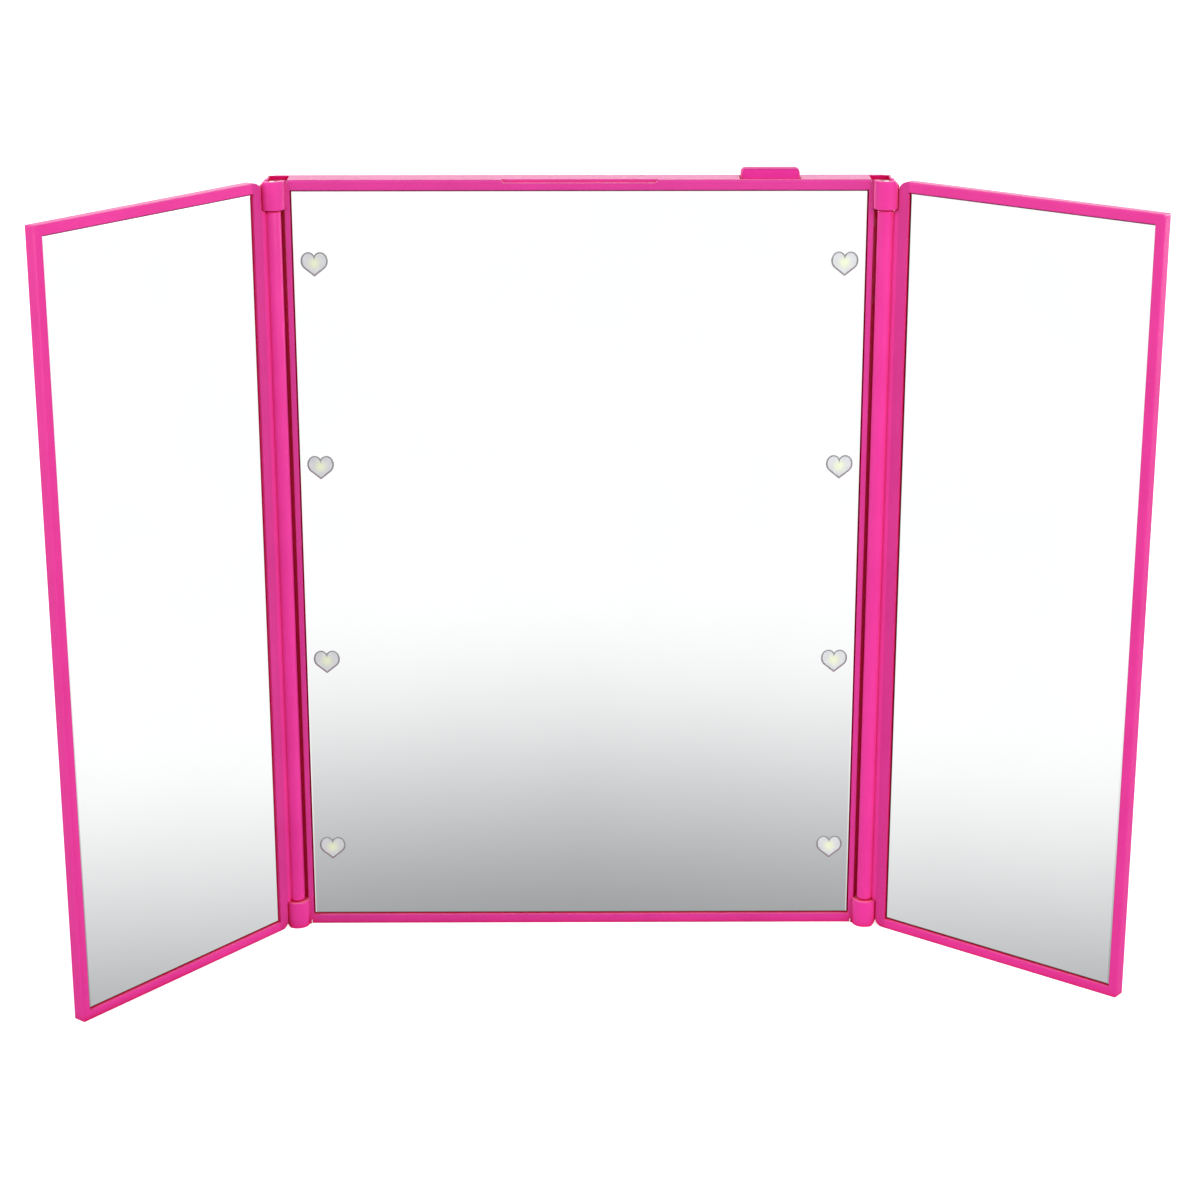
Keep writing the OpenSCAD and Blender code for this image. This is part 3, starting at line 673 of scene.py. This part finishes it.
def heart_window(x, z):
    """A frosted insert with a sunk rim round its face."""
    piece = heart_prism("window", 0, x, z, glass_low.y + rim_d, heart_high.y)
    return join(piece, heart_prism("window_face", rim_w, x, z, glass_low.y, glass_high.y))


def window_row(side):
    row = [heart_window(x, z) for x, z in heart_spots if x * SIDES[side] > 0]
    return gather("heart_windows_lit_" + side, row, 30)


window_rows = {side: window_row(side) for side in SIDES}
print("windows:", {side: len(row.data.polygons) for side, row in window_rows.items()}, "faces")

# %% [markdown]
# ## Pins and screws
# The hinge pins are bright plated steel. Their rounded ends glint in the knuckles' pockets, which is
# the only place where they show. The cover screws have a domed head with a cross recess.

# %% Turn the pins and the screws
pin_low, pin_high = box("right_hinge_pins")
pin_l = knuckle_h + pin_reach - (panel_h - pin_high.z)
pin_lift, pin_soft = 0.45, 0.18
pin_feet = (pin_low.z - pin_lift, pin_high.z + pin_lift - pin_l)
head_soft, shank_soft = 0.35, 0.3
cross_long, cross_thin, cross_d = 0.95, 0.22, 0.45


def pin(x, z0):
    piece = rod("pin", pin_r, (x, axis_y, z0), (x, axis_y, z0 + pin_l), 32)
    return round_edges(piece, pin_soft, 3, lambda p: lies_on(p, 2, z0) or lies_on(p, 2, z0 + pin_l))


pins = {side: gather("bright_pins_" + side, [pin(sign * axis_x, z) for z in pin_feet])
        for side, sign in SIDES.items()}


def screw(x, z):
    head = peg("screw", x, z, head_floor + shy, screw_high.y, head_r, 48)
    round_edges(head, head_soft, 4, lambda p: lies_on(p, 1, screw_high.y))
    for wide, tall in ((cross_long, cross_thin), (cross_thin, cross_long)):
        cut(head, block("cross", (x - wide, x + wide), (screw_high.y - cross_d, screw_high.y + past),
                        (z - tall, z + tall)))
    shank = peg("shank", x, z, screw_low.y, head_floor + 2 * bite, shank_r, 24)
    round_edges(shank, shank_soft, 2, lambda p: lies_on(p, 1, screw_low.y))
    return join(head, shank)


screws = gather("cross_screws", [screw(x, z) for x, z in screw_spots])
print("pin length, mm:", round(pin_l, 2), " screw faces:", len(screws.data.polygons))

# %% [markdown]
# ## Finishes
# A moulded plastic is never one flat colour: the pigment flows unevenly, the mould leaves a fine
# grain, and handling polishes the edges. Each finish below is built from noise fixed to the object,
# in waves per metre, which drives the colour, the roughness and a very shallow relief.


# %% Start a finish
def plug(material, socket, value):
    """Link a pattern to a socket, or give the socket that value."""
    if isinstance(value, bpy.types.NodeSocket):
        material.node_tree.links.new(value, socket)
    else:
        socket.default_value = (*value, 1) if socket.type == "RGBA" else value


def node(material, kind, *values, **inputs):
    """A node of that kind, with values or links put into its inputs, in order or by name."""
    made = material.node_tree.nodes.new("ShaderNode" + kind)
    for socket, value in zip(made.inputs, values):
        plug(material, socket, value)
    for name, value in inputs.items():
        plug(material, made.inputs[name.replace("_", " ")], value)
    return made


def feed(material, name, value):
    """Give a pattern or a value to the shader of a finish."""
    plug(material, material.node_tree.nodes["Principled BSDF"].inputs[name], value)


def new_finish(name, **inputs):
    """A material whose shader has those values."""
    material = bpy.data.materials.new(name)
    material.use_nodes = True
    for name, value in inputs.items():
        feed(material, name.replace("_", " "), value)
    return material


def place(material):
    """The point's own place on the object."""
    return node(material, "TexCoord").outputs["Object"]


def noise(material, waves, detail=2.0, stretch=(1, 1, 1)):
    """An even noise from 0 to 1, that many waves a metre, longer along an axis by its stretch."""
    spot = node(material, "Mapping", Vector=place(material), Scale=[1 / s for s in stretch])
    pattern = node(material, "TexNoise", Vector=spot.outputs[0], Scale=waves, Detail=detail).outputs[0]
    return node(material, "MapRange", Value=pattern, From_Min=0.3, From_Max=0.7).outputs["Result"]


def spread(material, pattern, low, high):
    """A pattern from 0 to 1, taken to other limits."""
    return node(material, "MapRange", Value=pattern, To_Min=low, To_Max=high).outputs["Result"]


def blend(material, pattern, first, second):
    """A colour between two colours or links, by a pattern."""
    mix = node(material, "Mix", pattern)
    mix.data_type = "RGBA"
    for socket, colour in zip(mix.inputs[6:8], (first, second)):
        plug(material, socket, colour)
    return mix.outputs[2]


def reckon(material, operation, first, second=0.0):
    """The result of one sum on two links or values."""
    step = node(material, "Math", first, second)
    step.operation = operation
    return step.outputs[0]


def length_of(material, first, second):
    """The long side of a right triangle over two links."""
    return reckon(material, "SQRT", reckon(material, "ADD", reckon(material, "POWER", first, 2.0),
                                           reckon(material, "POWER", second, 2.0)))


def relief(material, pattern, depth, base=None):
    """Let a pattern raise and sink the surface by that depth, over the base normal if there is one."""
    bump = node(material, "Bump", Height=pattern, Distance=depth, Strength=1)
    if base:
        plug(material, bump.inputs["Normal"], base)
    feed(material, "Normal", bump.outputs["Normal"])


# %% [markdown]
# The pink is the whole look of this object, with much red and nearly no green. The Bevel node rounds
# every edge in the shading, as a mould does, and where its surface and the true one differ lies an
# edge: there the plastic is smoother, as edges rubbed in use are, and paler, which is a painted
# highlight. In a crease the gloss has nothing bright to show: the Ambient Occlusion node finds the
# creases, and a dull dark red with no gloss takes over there as painted shade. The strip of a wing
# beside its barrel gets a painted shadow of the barrel. The wings and knuckles take a lighter copy
# of the pink and the case a darker one, as painted light and shade.


# %% Mix the pink plastic
# The painted shadow of a wing's barrel lies between these distances from the hinge line.
strip_start, strip_end = (2.75, 3.05), (5.8, 5.2)  # soft ends, in mm from the hinge line
crease_reach, edge_r = 3 * MM, 0.25 * MM


def ramp(material, value, start, end):
    """0 where the value is at its start, 1 where it is at its end, and even between."""
    return node(material, "MapRange", Value=value, From_Min=start, From_Max=end).outputs["Result"]


def crease(material):
    """1 deep in a crease, falling to 0 in the open."""
    sky = node(material, "AmbientOcclusion", Distance=crease_reach)
    sky.samples = 6
    return ramp(material, sky.outputs["AO"], 0.75, 0.2)


def edge_wear_highlight_mask(material, rounded):
    """1 on an edge, where the rounded normal leaves the true one, and 0 on a flat."""
    match = node(material, "VectorMath", rounded, node(material, "NewGeometry").outputs["Normal"])
    match.operation = "DOT_PRODUCT"
    return ramp(material, match.outputs["Value"], 1, 0.85)


def barrel_shadow_mask(material):
    """1 where the painted shadow of the barrel falls, on the strip of a wing between its barrel and its
    mirror, and 0 elsewhere.
    """
    spot = node(material, "SeparateXYZ", Vector=place(material)).outputs
    across = reckon(material, "SUBTRACT", reckon(material, "ABSOLUTE", spot["X"]), axis_x * MM)
    away = length_of(material, across, reckon(material, "SUBTRACT", spot["Y"], axis_y * MM))
    ends = [ramp(material, away, near * MM, far * MM) for near, far in (strip_start, strip_end)]
    return reckon(material, "MULTIPLY", *ends)


def pink_plastic(name, deep, pale, edge, roughness, gloss, strip=0.0):
    """Moulded pink between two colours, a third on its edges, partly a painted highlight, and a painted
    barrel shadow by strip.
    """
    finish = new_finish(name, IOR=1.5, Specular_IOR_Level=gloss)
    cloud, speck = noise(finish, 60, 3), noise(finish, 1800, 2)
    soft = node(finish, "Bevel", Radius=edge_r)
    soft.samples = 4
    worn_lit_edge = edge_wear_highlight_mask(finish, soft.outputs["Normal"])
    # The edge colour is partly wear and partly a painted highlight along every rounded edge.
    colour = blend(finish, spread(finish, worn_lit_edge, 0, 0.35), blend(finish, cloud, deep, pale), edge)
    if strip:
        # Painted shadow of the barrel: a dark red laid over the strip beside it.
        colour = blend(finish, spread(finish, barrel_shadow_mask(finish), 0, strip), colour, (0.10, 0, 0.04))
    feed(finish, "Base Color", colour)
    grain = spread(finish, speck, roughness - 0.05, roughness + 0.05)
    feed(finish, "Roughness", reckon(finish, "SUBTRACT", grain, spread(finish, worn_lit_edge, 0, 0.12)))
    relief(finish, speck, 0.004 * MM, soft.outputs["Normal"])
    # Painted shade: deep in a crease the shader turns to a dull dark red with no gloss.
    crease_shade_colour = blend(finish, cloud, (0.66, 0.001, 0.04), (0.74, 0.002, 0.055))
    crease_shade = node(finish, "BsdfDiffuse", Color=crease_shade_colour).outputs[0]
    nodes = finish.node_tree.nodes
    both = node(finish, "MixShader", crease(finish), nodes["Principled BSDF"].outputs[0], crease_shade)
    plug(finish, nodes["Material Output"].inputs["Surface"], both.outputs[0])
    return finish


# deep, pale and edge colour (the edge partly a painted highlight), roughness, gloss, and the painted
# barrel shadow
# The wing row is a lighter copy of the pink and the shell row a darker one, painted light and shade; the
# pocket row is painted shade.
PINKS = {
    "shaded_pink": ((0.60, 0.018, 0.24), (0.66, 0.023, 0.275), (0.78, 0.06, 0.38), 0.40, 0.5),
    "lit_pink": ((0.74, 0.029, 0.285), (0.80, 0.037, 0.32), (0.92, 0.12, 0.48), 0.38, 0.25, 0.22),
    "pocket_shade_pink": ((0.46, 0.004, 0.13), (0.52, 0.006, 0.15), (0.66, 0.03, 0.24), 0.45, 0.1),
    "button_pink": ((0.62, 0.020, 0.24), (0.68, 0.027, 0.27), (0.78, 0.055, 0.37), 0.38, 0.06),
}
shaded_pink, lit_pink, pocket_shade_pink, button_pink = (pink_plastic(name, *PINKS[name]) for name in PINKS)
print("pinks mixed:", list(PINKS))

# %% [markdown]
# A silvered sheet is a metal to the renderer: nearly white, and almost perfectly smooth, with only
# a breath of haze that drifts over it. Its cut edge carries painted shade, a dark red that shows as
# a thin dark line beside the rim. The windows are frosted, with a soft yellow-green spot on each
# that is partly the tint of the light behind it and partly a painted glow, and a dark grey rim
# where the silvering stops, which is painted shade.


# %% Silver the sheets and frost the windows
def silvering():
    finish = new_finish("silvering", Metallic=1.0)
    haze = noise(finish, 45, 3)
    feed(finish, "Base Color", blend(finish, haze, (0.935, 0.938, 0.942), (0.950, 0.953, 0.956)))
    feed(finish, "Roughness", spread(finish, haze, 0.004, 0.02))
    relief(finish, noise(finish, 18, 1), 0.0004 * MM)
    return finish


def heart_distance(material):
    """How far a point lies from the middle of the nearest heart, in metres."""
    spot = node(material, "SeparateXYZ", Vector=place(material)).outputs
    across = reckon(material, "SUBTRACT", reckon(material, "ABSOLUTE", spot["X"]), heart_x * MM)
    up = reckon(material, "SUBTRACT", spot["Z"], (heart_foot + 0.5) * MM)
    count = reckon(material, "ROUND", reckon(material, "DIVIDE", up, heart_step * MM))
    along = reckon(material, "SUBTRACT", up, reckon(material, "MULTIPLY", count, heart_step * MM))
    return length_of(material, across, along)


def frosting():
    finish = new_finish("frosting", IOR=1.49, Emission_Color=(0.80, 0.90, 0.42))
    frost = noise(finish, 900, 3)
    # Painted glow: round the middle of each heart the window turns yellow-green, partly the tint of the
    # light behind it, and gives off a little light of its own.
    spot = node(finish, "MapRange", Value=heart_distance(finish), From_Min=2 * MM, From_Max=0.1 * MM)
    spot.interpolation_type = "SMOOTHSTEP"
    glow = spot.outputs["Result"]
    plain = blend(finish, frost, (0.60, 0.62, 0.64), (0.68, 0.69, 0.71))
    feed(finish, "Base Color", blend(finish, glow, plain, (0.72, 0.77, 0.56)))
    feed(finish, "Emission Strength", spread(finish, glow, 0, 0.07))
    feed(finish, "Roughness", spread(finish, frost, 0.35, 0.55))
    relief(finish, frost, 0.01 * MM)
    return finish


def window_rim():
    finish = new_finish("window_rim")
    # Painted shade: this dark grey stands for the shade at the edge of the silvering round each heart.
    feed(finish, "Base Color", blend(finish, noise(finish, 1500), (0.26, 0.27, 0.28), (0.34, 0.35, 0.36)))
    feed(finish, "Roughness", spread(finish, noise(finish, 700), 0.4, 0.6))
    relief(finish, noise(finish, 2500), 0.005 * MM)
    return finish


def sheet_edge_shade():
    """Painted shade on the cut edge of a sheet, for the shaded gap between the sheet and its rim."""
    finish = new_finish("sheet_edge_shade", Specular_IOR_Level=0.1)
    grain = noise(finish, 1200)
    feed(finish, "Base Color", blend(finish, grain, (0.30, 0.004, 0.10), (0.42, 0.010, 0.15)))
    feed(finish, "Roughness", spread(finish, grain, 0.6, 0.8))
    relief(finish, grain, 0.01 * MM)
    return finish


silver, frosted, shaded_rim, painted_edge_shade = silvering(), frosting(), window_rim(), sheet_edge_shade()
print("sheet and windows:", silver.name, frosted.name, shaded_rim.name, painted_edge_shade.name)

# %% [markdown]
# What lies inside keeps the frame's own solids, since their shapes are right. They still get real
# finishes, because the battery bay can be opened and the exported pieces can be looked at one by
# one: plated steel, brass strip, green solder mask, switch plastic, wire and foam.


# %% Finish the inner pieces
def plain_finish(name, dark, light, waves, rough, depth, metal=0.0, stretch=(1, 1, 1)):
    """A finish whose colour, roughness and relief follow one noise."""
    finish = new_finish(name, Metallic=metal)
    pattern = noise(finish, waves, 3, stretch)
    feed(finish, "Base Color", blend(finish, pattern, dark, light))
    feed(finish, "Roughness", spread(finish, noise(finish, waves / 3, 2), *rough))
    relief(finish, pattern, depth * MM)
    return finish


# dark and light colour, waves a metre, roughness, relief in mm, metal, and the grain's stretch
PLAIN = {
    "bright_steel": ((0.60, 0.60, 0.62), (0.74, 0.74, 0.75), 900, (0.14, 0.24), 0.002, 1.0, (1, 1, 8)),
    "cell_steel": ((0.52, 0.53, 0.54), (0.66, 0.66, 0.66), 1200, (0.26, 0.33), 0.002, 1.0, (8, 1, 1)),
    "brass_strip": ((0.58, 0.42, 0.17), (0.70, 0.53, 0.25), 700, (0.25, 0.42), 0.003, 1.0, (6, 1, 1)),
    "solder_mask": ((0.015, 0.10, 0.035), (0.03, 0.16, 0.06), 500, (0.3, 0.5), 0.006),
    "black_plastic": ((0.012, 0.012, 0.013), (0.03, 0.03, 0.032), 1500, (0.45, 0.65), 0.006),
    "red_wire": ((0.42, 0.012, 0.012), (0.55, 0.02, 0.02), 600, (0.4, 0.6), 0.004),
    "grey_foam": ((0.035, 0.035, 0.04), (0.09, 0.09, 0.1), 2500, (0.8, 0.95), 0.03),
    "led_phosphor": ((0.82, 0.78, 0.30), (0.92, 0.88, 0.45), 1500, (0.3, 0.5), 0.004),
    "white_plastic": ((0.68, 0.68, 0.66), (0.80, 0.80, 0.78), 1500, (0.35, 0.5), 0.005),
}
plain = {name: plain_finish(name, *row) for name, row in PLAIN.items()}
bright_steel = plain["bright_steel"]
INNER = {
    "brass_strip": ["contact_left", "contact_right", "contact_bridge"],
    "cell_steel": ["cell_left", "cell_right"],
    "white_plastic": ["switch_plunger"],
    "solder_mask": ["led_board_left", "led_board_right", "switch_board"],
    "black_plastic": ["switch_housing", "resistors"],
    "red_wire": ["wires"],
    "grey_foam": ["center_tape", "left_wing_tape", "right_wing_tape"],
    "led_phosphor": ["leds_left", "leds_right"],
}
for finish_name, names in INNER.items():
    for name in names:
        for slot in frame["nodes"][name].material_slots:
            slot.material = plain[finish_name]
print("inner nodes finished:", sum(len(names) for names in INNER.values()))

# %% [markdown]
# ## Hand the pieces to the frame
# Each modelled piece rides on the body that carries it, stands for the solid that it replaces, and
# gets its finish. The knuckles get the lighter copy of the pink, painted light, and the pin pockets
# a darker one, painted shade, face by face. In the picture no panel shows up in another one's
# mirror, as in shop pictures that are cleaned up, so the panels are kept out of the reflections.

# %% Give every piece its finish and its body
def fit(piece, body, slot_name, finish, *stands_for):
    """Bring a piece from millimetres to metres, and give it its finish and body; the slot name is not
    used.
    """
    piece.scale = (MM, MM, MM)
    absorb(piece)
    piece.data.materials.clear()
    piece.data.materials.append(finish)
    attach(piece, body)
    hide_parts(*stands_for)
    return piece


fit(case_front, "center", "pink_shell", shaded_pink, "center_frame")
fit(back_shell, "center", "pink_shell", shaded_pink, "back_cover")
fit(slide_door, "door", "pink_shell", shaded_pink, "battery_door")
fit(cap, "button", "pink_button", button_pink, "power_button")
fit(sheet, "center", "mirror_sheet", silver, "center_mirror")
fit(screws, "center", "steel", bright_steel, "cover_screws")
for side in SIDES:
    fit(wing_shells[side], side + "_wing", "pink_shell", lit_pink, side + "_wing_frame")
    fit(wing_sheets[side], side + "_wing", "mirror_sheet", silver, side + "_wing_mirror")
    fit(pins[side], "center", "steel", bright_steel, side + "_hinge_pins")
    fit(window_rows[side], "center", "frosted_window", frosted, "heart_windows_" + side)
for piece in bpy.context.scene.objects:
    piece.visible_glossy = False


# %% Give some faces a second finish
def among(value, limits, more=0.0):
    return limits[0] - more < value < limits[1] + more


def knuckle_light_pocket_shade(face):
    """0 for the case, 1 on a knuckle, painted lighter, 2 in a pin pocket, painted shade."""
    spot = face.center / MM
    out, back, end = abs(spot.x) - axis_x, spot.y - axis_y, min(spot.z, panel_h - spot.z)
    sunk = 2 * shy < end < pocket_d + bite
    if sunk and among(spot.y, pocket_y, bite) and among(out, (pocket_in, pocket_out), bite):
        return 2
    return int(math.hypot(out, back) < knuckle_r + shy and end < knuckle_h)


def repaint(piece, finish_of, *finishes):
    """Add finishes to a piece, and let finish_of(face) choose by number."""
    for finish in finishes:
        piece.data.materials.append(finish)
    for face in piece.data.polygons:
        face.material_index = finish_of(face)


repaint(case_front, knuckle_light_pocket_shade, lit_pink, pocket_shade_pink)
for row in window_rows.values():
    repaint(row, lambda face: int(face.center.y >= (glass_low.y + 0.9 * rim_d) * MM), shaded_rim)
for piece in (sheet, *wing_sheets.values()):
    facing = max(piece.data.polygons, key=lambda face: face.area).normal.copy()
    repaint(piece, lambda face: int(abs(face.normal.dot(facing)) < 0.1), painted_edge_shade)
print("faces of the case front by finish:",
      [[face.material_index for face in case_front.data.polygons].count(i) for i in range(3)])

# %% [markdown]
# ## Table, light and camera
# The photograph is a shop picture on pure white. The table is white to the camera with only a
# breath of shadow where the edges touch it, and dimmer to light that bounces, so that it doesn't
# wash out the pink. A mirror shows its surroundings, so they matter more than any lamp: in front
# the room is white and falls off to grey well below the horizon, which draws the soft grey gradient
# in the lower half of the sheets. Behind, where only the plastic's gloss looks, it is bright above,
# for a pale top edge, and dark below, for deep creases.

# %% Lay the table
bpy.ops.mesh.primitive_plane_add(size=8, location=(0, 0, -0.02 * MM))
table = bpy.context.object
table.name = "table"
table_white = bpy.data.materials.new("table_white")
table_white.use_nodes = True
table_white.node_tree.nodes.clear()
bounced = node(table_white, "LightPath").outputs["Is Diffuse Ray"]
shade = blend(table_white, bounced, (0.8, 0.8, 0.8), (0.4, 0.4, 0.4))
lit = node(table_white, "BsdfDiffuse", Color=shade, Roughness=0.5)
own = node(table_white, "Emission", Color=(1, 1, 1), Strength=spread(table_white, bounced, 0.66, 0.0))
both = node(table_white, "AddShader", lit.outputs[0], own.outputs[0])
node(table_white, "OutputMaterial", Surface=both.outputs[0])
table.data.materials.append(table_white)
table.visible_glossy = False
print("table laid at z =", table.location.z)

# %% Paint the room
room = bpy.data.worlds.new("room")
bpy.context.scene.world = room
room.use_nodes = True
room.node_tree.nodes.clear()
ray = node(room, "LightPath").outputs
heading = node(room, "SeparateXYZ", Vector=node(room, "TexCoord").outputs["Generated"]).outputs
sideways = reckon(room, "MULTIPLY", reckon(room, "ABSOLUTE", heading["X"]), 0.048)
height = reckon(room, "ADD", sideways, heading["Z"])
low_wall = node(room, "MapRange", Value=height, From_Min=-0.307, From_Max=-0.438)
low_wall.interpolation_type = "SMOOTHSTEP"
front_wall = blend(room, low_wall.outputs["Result"], (1.062, 1.062, 1.062), (0.318, 0.328, 0.335))
back_wall = blend(room, ramp(room, heading["Z"], -0.12, 0.12), (0.03, 0.03, 0.03), (2.1, 2.1, 2.1))
reflected = blend(room, ramp(room, heading["Y"], 0.2, 0.7), front_wall, back_wall)
seen = blend(room, ray["Is Glossy Ray"], (1.0, 1.0, 1.0), reflected)
room_light = blend(room, ray["Is Diffuse Ray"], seen, (0.45, 0.45, 0.45))
background = node(room, "Background", Color=room_light, Strength=1)
node(room, "OutputWorld", Surface=background.outputs[0])
print("room painted")

# %% [markdown]
# Two large lights from the front, a small one straight on and two from behind stand low and wide, so
# that every side is lit, and none of them shows in a mirror that the camera looks into.

# %% Hang the soft lights
def soft_light(name, place, size, power):
    """An area light that faces the middle of the mirror."""
    bpy.ops.object.light_add(type="AREA", location=place)
    light = bpy.context.object
    light.name = name
    light.data.shape, light.data.size, light.data.energy = "SQUARE", size, power
    middle = Vector((0, 0, panel_h / 2 * MM))
    light.rotation_euler = (middle - light.location).to_track_quat("-Z", "Y").to_euler()
    light.visible_camera = False
    return light


soft_light("key", (0.85, -1.0, 0.55), 0.6, 10.5)
soft_light("fill", (-1.1, -0.65, 0.55), 0.7, 8.5)
soft_light("front", (0, -1.1, 0.55), 0.35, 1.5)
soft_light("back", (-0.9, 1.0, 0.3), 0.7, 13)
soft_light("back_fill", (1.1, 0.8, 0.25), 0.7, 8)

# %% [markdown]
# The camera's place, tilt and lens were solved from the photograph's corners of the panels.

# %% Set up the camera
camera_data = bpy.data.cameras.new("camera")
camera_data.sensor_width = 36
camera_data.lens = 86.224
camera = bpy.data.objects.new("camera", camera_data)
bpy.context.collection.objects.link(camera)
camera.location = (0.691 * MM, -608.488 * MM, 279.736 * MM)
camera.rotation_euler = (math.radians(90 - 18.420), 0, math.radians(-0.347))
bpy.context.scene.camera = camera
bpy.context.scene.view_settings.view_transform = "Standard"
print("camera looks down by 18.4 degrees from 0.61 m")
